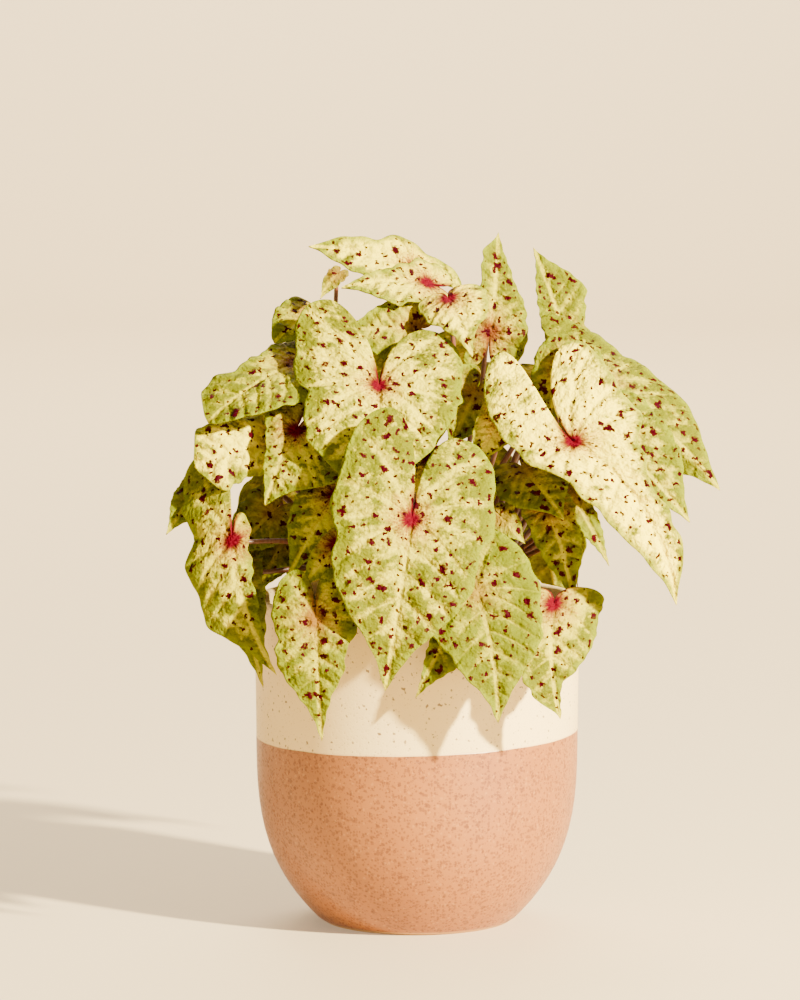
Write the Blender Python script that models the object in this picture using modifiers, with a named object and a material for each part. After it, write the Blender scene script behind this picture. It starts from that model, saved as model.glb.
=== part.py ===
"""Potted caladium: a glazed cover pot, the grow pot standing in it, soil, and a leafy plant.

World units are metres with +Z up. The origin is the centre of the pot's flat base, and the side
of the plant with the large hanging leaves faces -Y. Sizes below are in millimetres times MM.
"""

import math

import bmesh
import bpy
from mathutils import Vector

MM = 0.001
OBJECT_NAME = "potted_caladium"
TURNED_STEPS = 48

# Cover pot: a round-bellied foot that turns into a nearly straight wall
FOOT_RADIUS = 45 * MM
BELLY_BASE_RADIUS = 46 * MM
BELLY_RADIUS = 77 * MM
BELLY_TOP = 95 * MM
BELLY_POWER = 3.3
BELLY_LEVELS = (2, 6, 11, 18, 28, 44, 66)
POT_HEIGHT = 156 * MM
RIM_RADIUS = 77.8 * MM
RIM_WALL = 4.6 * MM
RIM_ROUNDS = (0, 60, 120, 180)
FLOOR_TOP = 7 * MM
FLOOR_WALL = 3 * MM

# Grow pot: a thin tapered plastic pot that rests on the cover pot's floor
SEAT_GAP = 0.3 * MM
GROW_BASE_RADIUS = 41 * MM
GROW_TOP_RADIUS = 68.5 * MM
GROW_RIM_RADIUS = 70.5 * MM
GROW_RIM_DEPTH = 5 * MM
GROW_HEIGHT = 142 * MM
GROW_WALL = 1.6 * MM
DRAIN_RADIUS = 4 * MM
DRAIN_RING = 26 * MM
DRAIN_HOLES = 5

# Soil and the five tubers that stand in it
SOIL_TOP = 136 * MM
SOIL_DOME = 2 * MM
CROWN_RADIUS = 8 * MM
CROWN_DEPTH = 15 * MM
CROWN_HEIGHT = 14 * MM
CROWNS = {
    "front": (0, -24),
    "left": (-26, -8),
    "right": (26, -8),
    "back_left": (-15, 24),
    "back_right": (15, 24),
}

# Petioles
PETIOLE_FOOT_RING = 4 * MM
PETIOLE_FOOT_HEIGHT = 4 * MM
PETIOLE_BASE_RADIUS = 1.8 * MM
PETIOLE_TIP_RADIUS = 1.0 * MM
PETIOLE_SPANS = 6
PETIOLE_SEAT = 2.5 * MM

# Blades
BLADE_THICKNESS = 0.8 * MM
LARGE_BLADE = 66 * MM
SMALL_BLADE = 36 * MM

COLOURS = {
    "pot_glaze": ((0.84, 0.66, 0.50), 0.45, 0.0),
    "grow_pot_plastic": ((0.42, 0.37, 0.31), 0.5, 0.0),
    "potting_soil": ((0.07, 0.05, 0.035), 0.95, 0.0),
    "petiole_skin": ((0.36, 0.17, 0.12), 0.5, 0.0),
    "leaf_blade": ((0.80, 0.82, 0.45), 0.45, 0.0),
}

# Shape of a blade, as shares of its midrib's length, in degrees, or in millimetres
PLAIN_BLADE = {
    "bend": 30,  # the midrib's droop, degrees
    "left_width": 0.47,
    "right_width": 0.47,
    "left_lobe": 0.55,
    "right_lobe": 0.55,
    "left_back": 15,  # how far the lobe bends away behind the face, degrees
    "right_back": 15,
    "left_fold": 12,  # how far the half blade rises from the midrib, degrees
    "right_fold": 12,
    "curl": -25,  # turn of the half blade from midrib to margin, degrees
    "sweep": 0,  # sideways bow of the midrib, millimetres
    "yaw": 0,  # turn of the lobes in the blade's plane, degrees
    "splay": 0,  # parting of the lobes
    "lobe_line": 0.40,
    "narrowing": 0.45,
    "narrow_from": 0.5,
    "blunt": 0,
    "left_edge": (1, 1),  # the margin against the plain outline, at even steps from lobe end to tip
    "right_edge": (1, 1),
    "wave": 1.2,  # height of the margin's waves, millimetres
    "waves": 4.5,
    "arrive": None,  # the way the petiole runs where it meets the blade
    "reach": 0.35,
    "rise": 50,  # how far the petiole climbs before it leans out, millimetres
    "seat": 0.8,  # from the blade's middle to the petiole's end, millimetres
}


def leaf(clump, heart, tip, face, **shape):
    """One leaf: its clump, where the petiole meets the blade, the blade's tip and the way it faces."""
    return {**PLAIN_BLADE, "clump": clump, "heart": heart, "tip": tip, "face": face, **shape}


# Every leaf, in millimetres from the middle of the pot's base
LEAVES = [
    # The large leaves that hang at the front
    leaf("front", (-3, -92, 203), (-15, -108, 126), (0.05, -1, 0.3), left_width=0.46,
         left_lobe=0.66, right_lobe=0.62, left_back=5, right_back=35, splay=0.05,
         left_edge=(1, 1, 0.97, 1.03, 0.98, 1.04, 1, 0.94, 1),
         right_edge=(1, 1.02, 0.98, 1.04, 0.96, 1.02, 0.94, 0.9, 1)),
    leaf("front", (-18, -38, 260), (-29, -78, 206), (-0.05, -1, 0.7), bend=20, left_width=0.58,
         right_width=0.57, left_lobe=0.66, right_lobe=0.53, left_back=-10, right_back=0,
         sweep=3, splay=0.2, left_edge=(1, 1.02, 0.98, 1.03, 0.93, 1.02, 1.15, 1.1, 1),
         right_edge=(1, 1.02, 1, 1.05, 0.93, 1, 1, 1), rise=80),
    leaf("right", (72, -72, 237), (119, -95, 164), (0.1, -1, 0.35), bend=35, left_width=0.33,
         right_width=0.37, left_lobe=0.7, right_lobe=0.54, sweep=9, yaw=31, splay=0.08,
         narrowing=0.5, narrow_from=0, left_edge=(1, 1, 0.92, 0.78, 0.72, 0.85, 1.15, 1.3, 1),
         right_edge=(1, 1, 1, 1.02, 0.62, 0.45, 0.75, 1.4, 1), arrive=(0.4, -0.8, -0.3),
         rise=110),
    leaf("right", (86, -20, 259), (142, -40, 211), (0.35, -0.7, 0.7), bend=35, left_width=0.42,
         right_width=0.4, left_lobe=0.4, right_lobe=0.64, left_fold=-50, right_fold=5,
         right_back=0, yaw=12, arrive=(0, -0.9, 0.35), reach=0.3, seat=2.3),
    leaf("right", (89, -45, 237), (127, -58, 198), (0.25, -1, 0.5), left_width=0.3,
         right_width=0.48, left_lobe=0.4, right_lobe=0.4),
    leaf("right", (70, -34, 267), (60, -36, 242), (0, -1, 0.3), left_width=0.6,
         right_width=0.6, left_lobe=0.6, right_lobe=0.6, rise=80),
    # The upright leaf and the tilted ones on top
    leaf("back_right", (35, 16, 281), (39, 28, 328), (0.2, -1, 0.1), left_width=0.38,
         right_width=0.32, left_lobe=0.35, right_lobe=0.35, narrowing=0.6, narrow_from=0.15,
         left_edge=(1, 1, 1, 1, 0.95, 0.9, 1, 1, 1),
         right_edge=(1, 0.7, 0.6, 0.6, 0.6, 0.8, 1.5, 3, 1)),
    leaf("front", (15, -6, 298.5), (26, -30, 273), (-0.1, -0.8, 0.6), left_width=0.42,
         right_width=0.5, left_lobe=0.22, right_lobe=0.22, left_fold=5, right_fold=5,
         left_edge=(1, 1, 1, 0.95, 0.7, 0.6, 0.7, 1), right_edge=(1, 1, 1, 1, 0.95, 0.7, 0.7, 1),
         rise=80, seat=1.7),
    leaf("back_left", (-2, 36, 309), (-52, 30, 321), (-0.05, -0.8, 0.7), bend=35,
         left_width=0.29, right_width=0.4, left_lobe=0.55, right_lobe=0.42, wave=2, waves=3,
         left_edge=(1, 0.95, 0.95, 1, 1.2, 0.8, 0.95, 1.45, 1),
         right_edge=(1, 1, 0.95, 0.9, 0.85, 0.85, 1, 1.3, 1), rise=80),
    leaf("back_left", (5, 14, 304), (-36, 2, 303), (-0.05, -0.7, 0.8), left_width=0.42,
         right_width=0.5, left_lobe=0.36, right_lobe=0.26,
         left_edge=(1, 1, 0.95, 0.75, 0.58, 0.62, 0.8, 1),
         right_edge=(1, 0.8, 0.72, 0.78, 1, 1.05, 1.1, 1), rise=80),
    leaf("back_left", (-38, 9, 309), (-46, 1, 298), (-0.3, -1, 0.2), left_width=0.3,
         right_width=0.3, left_lobe=0.35, right_lobe=0.35, rise=90),
    leaf("back_left", (0, -1, 284), (-36, -6, 283), (0, -0.9, 0.4), left_width=0.42,
         right_width=0.6, left_lobe=0.25, right_lobe=0.25, rise=80),
    # The left shoulder
    leaf("left", (-58, -14, 268), (-98, -42, 243), (-0.35, -0.7, 0.6), left_width=0.38,
         right_width=0.5, left_lobe=0.45, right_lobe=0.45, blunt=0.6,
         left_edge=(1, 1, 0.9, 0.85, 0.8, 0.8, 1.25, 1.6, 1), rise=90),
    leaf("back_left", (-50, 13, 290), (-68, 0, 277), (-0.2, -0.7, 0.6), left_width=0.62,
         right_width=0.6, left_lobe=0.2, right_lobe=0.2, blunt=0.4, rise=90),
    leaf("left", (-66, -26, 231), (-104, -44, 222), (-0.15, -0.9, 0.4), bend=60,
         left_width=0.36, right_width=0.36, left_lobe=0.3, right_lobe=0.3, blunt=0.9,
         left_edge=(1, 1, 1, 1.05, 1.1, 1.2, 1.45, 1.9, 1),
         right_edge=(1, 1, 1, 0.9, 0.95, 1, 1.25, 1.8, 1), rise=80),
    leaf("left", (-86, -62, 190), (-65, -85, 130), (-0.45, -1, 0.1), bend=25, left_width=0.38,
         right_width=0.12, left_lobe=0.85, right_lobe=0.2, right_fold=-20, sweep=-3,
         left_edge=(1, 1.35, 1.1, 0.85, 1.05, 0.95, 1.1, 0.95, 1), wave=2, arrive=(-0.9, -0.3, 0),
         seat=0.9),
    leaf("left", (-101, -26, 211), (-118, -40, 190), (-0.3, -1, 0.2), left_width=0.34,
         right_width=0.34, left_lobe=0.25, right_lobe=0.25),
    leaf("left", (-68, -35, 200), (-88, -44, 180), (-0.2, -1, 0.2), left_width=0.5,
         right_width=0.5, left_lobe=0.4, right_lobe=0.4, arrive=(-0.7, -0.7, 0)),
    leaf("left", (-62, -20, 186), (-76, -30, 160), (-0.2, -1, 0.2), left_width=0.36,
         right_width=0.36, left_lobe=0.2, right_lobe=0.2),
    leaf("left", (-84, -42, 176), (-72, -58, 120), (-0.2, -1, 0.1), left_width=0.2,
         right_width=0.2, arrive=(-0.8, 0.3, 0.3)),
    leaf("left", (-57, -42, 239), (-71, -60, 206), (-0.2, -1, 0.5), left_width=0.44,
         right_width=0.95, left_lobe=0.55, right_lobe=0.4, wave=1.8,
         left_edge=(1, 1, 0.95, 0.8, 0.6, 0.6, 0.7, 1), right_edge=(1, 0.8, 0.7, 0.85, 1.05, 1.1, 1, 1),
         rise=70),
    leaf("left", (-38, -56, 210), (-60, -72, 174), (-0.2, -1, 0.3), left_width=0.38,
         right_width=0.38),
    # Over the rim at the front
    leaf("front", (-47, -98, 158), (-44, -103, 102), (-0.1, -1, 0.2), left_width=0.35,
         right_width=0.35, left_lobe=0.42, right_lobe=0.42, narrowing=0.6, narrow_from=0.3,
         left_edge=(1, 1, 1.02, 0.97, 1.06, 1.12, 1.1, 1, 1),
         right_edge=(1, 1, 0.98, 1.04, 0.76, 0.86, 0.78, 0.85, 1), arrive=(-0.3, -0.8, -0.6),
         reach=0.5, rise=80),
    leaf("front", (-37, -80, 190), (-54, -86, 170), (-0.2, -1, 0.3), left_width=0.3,
         right_width=0.3, left_lobe=0.3, right_lobe=0.3, arrive=(-0.2, -0.8, 0.3)),
    leaf("front", (27, -86, 169), (37, -100, 110), (0.1, -1, 0.25), left_width=0.45,
         right_width=0.48, left_lobe=0.4, right_lobe=0.5, sweep=2, wave=1.6,
         left_edge=(1, 1, 1, 0.97, 1.03, 0.9, 0.97, 0.9, 1),
         right_edge=(1, 1, 0.97, 1.03, 0.97, 1.02, 0.9, 0.95, 1), arrive=(0, -0.9, -0.2), rise=60),
    leaf("right", (63, -76, 162), (66, -88, 110), (0.3, -1, 0.2), left_width=0.36,
         right_width=0.46, left_lobe=0.14, right_lobe=0.14, sweep=-4,
         left_edge=(1, 1, 1, 1, 1.1, 1.3, 1.8, 2.8, 1),
         right_edge=(1, 1, 1, 1, 0.95, 0.8, 0.4, 0.5, 1), arrive=(0.5, -0.6, -0.5), reach=0.5,
         rise=70),
    leaf("front", (20, -84, 160), (-1, -90, 120), (-0.1, -1, 0.2), left_width=0.16,
         right_width=0.35, left_lobe=0.15, right_lobe=0.15, arrive=(0.1, -0.6, -0.6),
         reach=0.5, rise=70),
    # The small ones between the large blades
    leaf("right", (61, -56, 204), (73, -64, 160), (0.3, -1, 0.2), left_width=0.28,
         right_width=0.28, left_lobe=0.2, right_lobe=0.2),
    leaf("right", (73, -41, 208), (90, -47, 176), (0.3, -1, 0.2), left_width=0.18,
         right_width=0.18, left_lobe=0.2, right_lobe=0.2),
    leaf("right", (67, -52, 198), (75, -57, 167), (0.3, -1, 0.2), left_width=0.14,
         right_width=0.14, left_lobe=0.2, right_lobe=0.2),
    leaf("right", (50, -48, 222), (68, -66, 200), (0.1, -1, 0.4), left_width=0.6,
         right_width=0.6, left_lobe=0.3, right_lobe=0.3),
    leaf("front", (27, -32, 256), (15, -44, 230), (0, -1, 0.4), left_width=0.45,
         right_width=0.45, left_lobe=0.5, right_lobe=0.5, rise=70),
    leaf("front", (5, -62, 229), (-2, -66, 212), (0, -1, 0.4), left_width=0.35,
         right_width=0.35, left_lobe=0.4, right_lobe=0.4),
    leaf("right", (39, -63, 201), (50, -67, 189), (0, -1, 0.4), left_width=0.4,
         right_width=0.4, left_lobe=0.4, right_lobe=0.4),
    leaf("front", (39, -50, 246), (26, -56, 224), (0, -1, 0.4), left_width=0.4,
         right_width=0.4, left_lobe=0.6, right_lobe=0.6),
    leaf("back_right", (72, 25, 274), (56, 37, 320), (0.2, -1, 0.2), left_width=0.4,
         right_width=0.2, left_lobe=0.2, right_lobe=0.2, narrow_from=0.6,
         left_edge=(1, 0.7, 0.6, 0.8, 1.15, 1.08, 1.1, 1), rise=70),
    # The back of the plant
    leaf("right", (88, 30, 226), (108, 40, 184), (1, 0.25, 0.6), left_lobe=0.3, right_lobe=0.3),
    leaf("back_right", (58, 64, 252), (84, 92, 210), (0.6, 0.7, 0.6), left_lobe=0.4,
         right_lobe=0.4, rise=90),
    leaf("back_right", (6, 76, 260), (8, 112, 212), (0, 1, 0.5), rise=80),
    leaf("back_left", (-56, 58, 252), (-82, 84, 210), (-0.6, 0.7, 0.6), left_lobe=0.4,
         right_lobe=0.4, rise=90),
    leaf("back_left", (-82, 22, 240), (-102, 28, 196), (-1, 0.2, 0.5)),
    leaf("back_right", (56, 66, 198), (70, 82, 136), (0.5, 1, 0.3), left_width=0.42,
         right_width=0.42),
    leaf("back_right", (10, 94, 186), (12, 112, 122), (0, 1, 0.3), left_width=0.42,
         right_width=0.42),
    leaf("back_left", (-44, 76, 196), (-54, 92, 132), (-0.3, 1, 0.3), left_width=0.42,
         right_width=0.42),
    leaf("back_left", (-68, 48, 198), (-80, 60, 142), (-0.8, 1, 0.3), left_width=0.4,
         right_width=0.4, left_lobe=0.4, right_lobe=0.4),
    leaf("back_left", (-33, 44, 282), (-46, 68, 262), (-0.2, 0.7, 0.9), left_width=0.6,
         right_width=0.6, left_lobe=0.4, right_lobe=0.4, rise=90),
]


def clear_scene():
    for obj in list(bpy.data.objects):
        bpy.data.objects.remove(obj, do_unlink=True)


def make_materials():
    materials = {}
    for name, (colour, roughness, metallic) in COLOURS.items():
        material = bpy.data.materials.new(name)
        material.use_nodes = True
        shader = material.node_tree.nodes["Principled BSDF"]
        shader.inputs["Base Color"].default_value = (*colour, 1)
        shader.inputs["Roughness"].default_value = roughness
        shader.inputs["Metallic"].default_value = metallic
        materials[name] = material
    return materials


def new_collection(name, hidden=False):
    collection = bpy.data.collections.new(name)
    bpy.context.scene.collection.children.link(collection)
    collection.hide_render = hidden
    return collection


def new_object(name, data, collection, material=None):
    obj = bpy.data.objects.new(name, data)
    collection.objects.link(obj)
    if material:
        data.materials.append(material)
    return obj


def turned(name, profile, collection, material=None, steps=TURNED_STEPS):
    """A profile of (radius, height) pairs turned about Z; it runs down its outer side."""
    outline = bmesh.new()
    points = [outline.verts.new((radius, 0, height)) for radius, height in profile]
    for start, end in zip(points, points[1:]):
        outline.edges.new((start, end))
    mesh = bpy.data.meshes.new(name)
    outline.to_mesh(mesh)
    outline.free()
    obj = new_object(name, mesh, collection, material)
    screw = obj.modifiers.new("Screw", "SCREW")
    screw.steps = screw.render_steps = steps
    screw.use_merge_vertices = True
    screw.merge_threshold = 0.00001
    screw.use_smooth_shade = False
    return obj


def cylinder_cutter(name, radius, bottom, top, place, collection):
    bpy.ops.mesh.primitive_cylinder_add(
        vertices=16, radius=radius, depth=top - bottom, location=(*place, (top + bottom) / 2)
    )
    cutter = bpy.context.object
    cutter.name = name
    for owner in list(cutter.users_collection):
        owner.objects.unlink(cutter)
    collection.objects.link(cutter)
    cutter.hide_render = True
    cutter.display_type = "WIRE"
    return cutter


def cut_with(obj, cutters):
    for cutter in cutters:
        cut = obj.modifiers.new(cutter.name, "BOOLEAN")
        cut.operation = "DIFFERENCE"
        cut.solver = "EXACT"
        cut.object = cutter


def belly_radius(height):
    """Outer radius of the cover pot at a height up to the top of its belly."""
    return BELLY_BASE_RADIUS + (BELLY_RADIUS - BELLY_BASE_RADIUS) * (
        1 - (1 - height / BELLY_TOP) ** BELLY_POWER
    )


def bowl_radius(height):
    """Inner radius of the cover pot, whose wall grows thicker towards the foot."""
    low = max(0.0, 1 - height / BELLY_TOP)
    return belly_radius(min(height, BELLY_TOP)) - RIM_WALL + 0.6 * MM * (1 - low) - FLOOR_WALL * low**2


def make_pot(collection, material):
    levels = [level * MM for level in BELLY_LEVELS]
    inner = [(0, FLOOR_TOP), (bowl_radius(FLOOR_TOP) - 3 * MM, FLOOR_TOP)]
    inner += [(bowl_radius(level), level + 1 * MM) for level in levels if level > FLOOR_TOP]
    inner += [(bowl_radius(BELLY_TOP), BELLY_TOP)]
    lip = RIM_WALL / 2
    rim = [
        (
            RIM_RADIUS - lip - lip * math.cos(math.radians(turn)),
            POT_HEIGHT - lip + lip * math.sin(math.radians(turn)),
        )
        for turn in RIM_ROUNDS
    ]
    outer = [(BELLY_RADIUS, BELLY_TOP)]
    outer += [(belly_radius(level), level) for level in reversed(levels)]
    base = [(FOOT_RADIUS + 1 * MM, 0.6 * MM), (FOOT_RADIUS, 0), (0, 0)]
    return turned("pot", inner + rim + outer + base, collection, material)


def grow_radius(height):
    """Outer radius of the grow pot's tapered wall at a height above the ground."""
    share = (height - FLOOR_TOP - SEAT_GAP) / GROW_HEIGHT
    return GROW_BASE_RADIUS + (GROW_TOP_RADIUS - GROW_BASE_RADIUS) * share


def make_grow_pot(collection, cutters, material):
    bottom = FLOOR_TOP + SEAT_GAP
    top = bottom + GROW_HEIGHT
    profile = [
        (0, bottom + GROW_WALL),
        (grow_radius(bottom) - GROW_WALL, bottom + GROW_WALL),
        (grow_radius(top) - GROW_WALL, top),
        (GROW_RIM_RADIUS, top),
        (GROW_RIM_RADIUS, top - GROW_RIM_DEPTH),
        (grow_radius(top - GROW_RIM_DEPTH), top - GROW_RIM_DEPTH),
        (grow_radius(bottom), bottom),
        (0, bottom),
    ]
    pot = turned("grow_pot", profile, collection, material, steps=32)
    holes = []
    for index in range(DRAIN_HOLES):
        turn = math.tau * index / DRAIN_HOLES
        place = (DRAIN_RING * math.cos(turn), DRAIN_RING * math.sin(turn))
        holes.append(
            cylinder_cutter(
                f"drain_cutter_{index}", DRAIN_RADIUS, bottom - 2 * MM, bottom + 4 * MM, place, cutters
            )
        )
    cut_with(pot, holes)
    return pot


def make_soil(collection, cutters, material):
    bottom = FLOOR_TOP + SEAT_GAP + GROW_WALL + SEAT_GAP

    def side(height):
        return grow_radius(height) - GROW_WALL - 2.4 * SEAT_GAP

    profile = [
        (0, SOIL_TOP + SOIL_DOME),
        (0.55 * side(SOIL_TOP), SOIL_TOP + SOIL_DOME),
        (side(SOIL_TOP), SOIL_TOP),
        (side(bottom), bottom),
        (0, bottom),
    ]
    soil = turned("soil", profile, collection, material, steps=32)
    holes = [
        cylinder_cutter(
            f"crown_cutter_{name}",
            CROWN_RADIUS + 1.5 * SEAT_GAP,
            SOIL_TOP - CROWN_DEPTH - SEAT_GAP,
            SOIL_TOP + 10 * MM,
            (x * MM, y * MM),
            cutters,
        )
        for name, (x, y) in CROWNS.items()
    ]
    cut_with(soil, holes)
    return soil


def smooth_step(low, high, value):
    share = min(1.0, max(0.0, (value - low) / (high - low)))
    return share * share * (3 - 2 * share)


def arc(start, turn_per_length, length):
    """Along and across reach of a curve that sets out at an angle and turns evenly."""
    if abs(turn_per_length) < 1e-9:
        return length * math.cos(start), length * math.sin(start)
    end = start + turn_per_length * length
    return (
        (math.sin(end) - math.sin(start)) / turn_per_length,
        (math.cos(start) - math.cos(end)) / turn_per_length,
    )


def edge_share(stations, progress):
    """The margin's share of the plain outline, eased from one station to the next."""
    place = min(1.0, max(0.0, progress)) * (len(stations) - 1)
    index = min(int(place), len(stations) - 2)
    ease = smooth_step(0, 1, place - index)
    return stations[index] * (1 - ease) + stations[index + 1] * ease


class Blade:
    """The bent surface of one leaf: place() gives the point at a share along and across it."""

    def __init__(self, shape):
        self.shape = shape
        self.heart = Vector(shape["heart"]) * MM
        chord = Vector(shape["tip"]) * MM - self.heart
        self.along = chord.normalized()
        face = Vector(shape["face"])
        self.face = (face - self.along * face.dot(self.along)).normalized()
        self.side = self.face.cross(self.along)
        self.bend = math.radians(shape["bend"])
        self.length = chord.length * (self.bend / 2) / math.sin(self.bend / 2)

    def half(self, side, name):
        return self.shape[("right_" if side > 0 else "left_") + name]

    def heart_frame(self):
        """The midrib's direction and the blade's normal where the petiole meets it."""
        turn = self.bend / 2
        along = math.cos(turn) * self.along + math.sin(turn) * self.face
        normal = -math.sin(turn) * self.along + math.cos(turn) * self.face
        return along, normal

    def margins(self, side, share, lobe_share):
        """Distance of the inner and outer margin from the midline."""
        shape = self.shape
        width = self.half(side, "width") * self.length
        line = shape["lobe_line"] * width
        whole = self.half(side, "lobe")
        edge = edge_share(self.half(side, "edge"), (share + whole) / (1 + whole))
        if share < 0:
            outer = edge * (line + (width - line) * math.sqrt(max(0.0, 1 - lobe_share**2.5)))
            inner = line * (1 - math.sqrt(max(0.0, 1 - lobe_share**3))) + 0.02 * width * lobe_share
            return min(inner, line, outer), outer
        pointed = (1 - share) * (1 + 0.9 * share)
        pointed *= 1 - shape["narrowing"] * smooth_step(shape["narrow_from"], 0.95, share)
        rounded = math.sqrt(max(0.0, 1 - share**2.5))
        outline = (1 - shape["blunt"]) * pointed + shape["blunt"] * rounded
        waist = 1 - 0.06 * math.exp(-(((share - 0.14) / 0.07) ** 2))
        return 0.0, edge * width * outline * waist

    def place(self, side, share, lobe_share, across):
        """share runs from minus the lobe's length, at its end, to 0 at the heart and 1 at the tip."""
        shape = self.shape
        width = self.half(side, "width") * self.length
        lobe = self.half(side, "lobe") * self.length
        back = math.radians(self.half(side, "back"))
        inner, outer = self.margins(side, share, lobe_share)
        reach = inner + (outer - inner) * across
        out, up = arc(
            math.radians(self.half(side, "fold")), math.radians(shape["curl"]) / width, reach
        )
        if share < 0:
            heading = self.bend / 2 + back * lobe_share
            run, lift = arc(self.bend / 2, back / lobe, lobe_share * lobe)
            run, lift = -run, -lift
            bow = 4 * shape["sweep"] * MM * share
        else:
            heading = self.bend * (0.5 - share)
            run, lift = arc(self.bend / 2, -self.bend / self.length, share * self.length)
            bow = 4 * shape["sweep"] * MM * share * (1 - share)
        bow += side * shape["splay"] * width * lobe_share**1.5
        bow += math.tan(math.radians(shape["yaw"])) * lobe * lobe_share**1.3
        normal = -math.sin(heading) * self.along + math.cos(heading) * self.face
        whole = self.half(side, "lobe")
        progress = (share + whole) / (1 + whole)
        ripple = math.sin(math.tau * shape["waves"] * progress + (1.7 if side > 0 else 0))
        fade = math.sqrt(max(0.0, math.sin(math.pi * min(1.0, max(0.0, progress)))))
        wave = shape["wave"] * MM * (reach / width) ** 2 * ripple * fade
        middle = self.heart + run * self.along + lift * self.face + bow * self.side
        return middle + side * out * self.side + (up + wave) * normal


def half_sheet(blade, side, columns, lobe_rows, tip_rows):
    """Half a blade: a flat grid bent by the blade's formula, its rows from lobe end to tip."""
    rows = lobe_rows + tip_rows
    sheet = bmesh.new()
    bmesh.ops.create_grid(sheet, x_segments=columns, y_segments=rows, size=0.5)
    for vertex in sheet.verts:
        across = vertex.co.x + 0.5
        row = round((vertex.co.y + 0.5) * rows)
        if row < lobe_rows:
            lobe_share = math.cos(math.pi / 2 * row / lobe_rows)
            share = -blade.half(side, "lobe") * lobe_share
        else:
            lobe_share = 0.0
            share = (row - lobe_rows) / tip_rows
        vertex.co = blade.place(side, share, lobe_share, across)
    if side < 0:
        bmesh.ops.reverse_faces(sheet, faces=sheet.faces)
    return sheet


def grid_size(blade):
    """Columns, lobe rows and tip rows of a half blade."""
    if blade.length > LARGE_BLADE:
        return 4, 4, 8
    if blade.length > SMALL_BLADE:
        return 3, 3, 6
    return 2, 2, 4


def make_leaf(name, shape, collection, material):
    blade = Blade(shape)
    whole = bmesh.new()
    for side in (-1, 1):
        half = half_sheet(blade, side, *grid_size(blade))
        mesh = bpy.data.meshes.new(f"{name}_half")
        half.to_mesh(mesh)
        half.free()
        whole.from_mesh(mesh)
        bpy.data.meshes.remove(mesh)
    bmesh.ops.remove_doubles(whole, verts=whole.verts, dist=0.05 * MM)
    bmesh.ops.triangulate(whole, faces=whole.faces, quad_method="FIXED")
    mesh = bpy.data.meshes.new(name)
    whole.to_mesh(mesh)
    whole.free()
    obj = new_object(name, mesh, collection, material)
    solidify = obj.modifiers.new("Solidify", "SOLIDIFY")
    solidify.thickness = BLADE_THICKNESS
    solidify.offset = 0
    return obj


def petiole_route(shape):
    """Points of a petiole from its tuber to just under the blade, where it meets it squarely."""
    _, normal = Blade(shape).heart_frame()
    heart = Vector(shape["heart"]) * MM
    end = heart - normal * shape["seat"] * MM
    neck = end - normal * PETIOLE_SEAT
    crown_x, crown_y = CROWNS[shape["clump"]]
    crown = Vector((crown_x * MM, crown_y * MM, SOIL_TOP))
    out = Vector((neck.x - crown.x, neck.y - crown.y, 0)).normalized()
    foot = crown + out * PETIOLE_FOOT_RING + Vector((0, 0, PETIOLE_FOOT_HEIGHT))
    arrive = Vector(shape["arrive"] or normal * 0.6 + Vector((0, 0, 0.7))).normalized()
    rise = shape["rise"] * MM
    climb = foot + Vector((0, 0, rise)) + out * rise * 0.25
    lean = neck - arrive * (neck - foot).length * shape["reach"]
    route = []
    for step in range(PETIOLE_SPANS + 1):
        t = step / PETIOLE_SPANS
        route.append(
            foot * (1 - t) ** 3
            + climb * 3 * (1 - t) ** 2 * t
            + lean * 3 * (1 - t) * t**2
            + neck * t**3
        )
    return route + [end]


def mesh_from_curve(obj, collection):
    """The curve's tube as a mesh object in its place, and the curve removed."""
    graph = bpy.context.evaluated_depsgraph_get()
    mesh = bpy.data.meshes.new_from_object(obj.evaluated_get(graph))
    name = obj.name
    bpy.data.objects.remove(obj, do_unlink=True)
    tube = new_object(name, mesh, collection)
    clean = bmesh.new()
    clean.from_mesh(mesh)
    bmesh.ops.remove_doubles(clean, verts=clean.verts, dist=0.001 * MM)
    bmesh.ops.recalc_face_normals(clean, faces=clean.faces)
    clean.to_mesh(mesh)
    clean.free()
    return tube


def make_petiole(name, shape, collection):
    route = petiole_route(shape)
    curve = bpy.data.curves.new(name, "CURVE")
    curve.dimensions = "3D"
    curve.bevel_depth = PETIOLE_BASE_RADIUS
    curve.bevel_resolution = 0
    curve.use_fill_caps = True
    spline = curve.splines.new("POLY")
    spline.points.add(len(route) - 1)
    slimmest = PETIOLE_TIP_RADIUS / PETIOLE_BASE_RADIUS
    for index, place in enumerate(route):
        spline.points[index].co = (*place, 1)
        spline.points[index].radius = 1 + (slimmest - 1) * index / (len(route) - 1)
    obj = new_object(name, curve, collection)
    bpy.context.view_layer.update()
    return mesh_from_curve(obj, collection)


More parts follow.
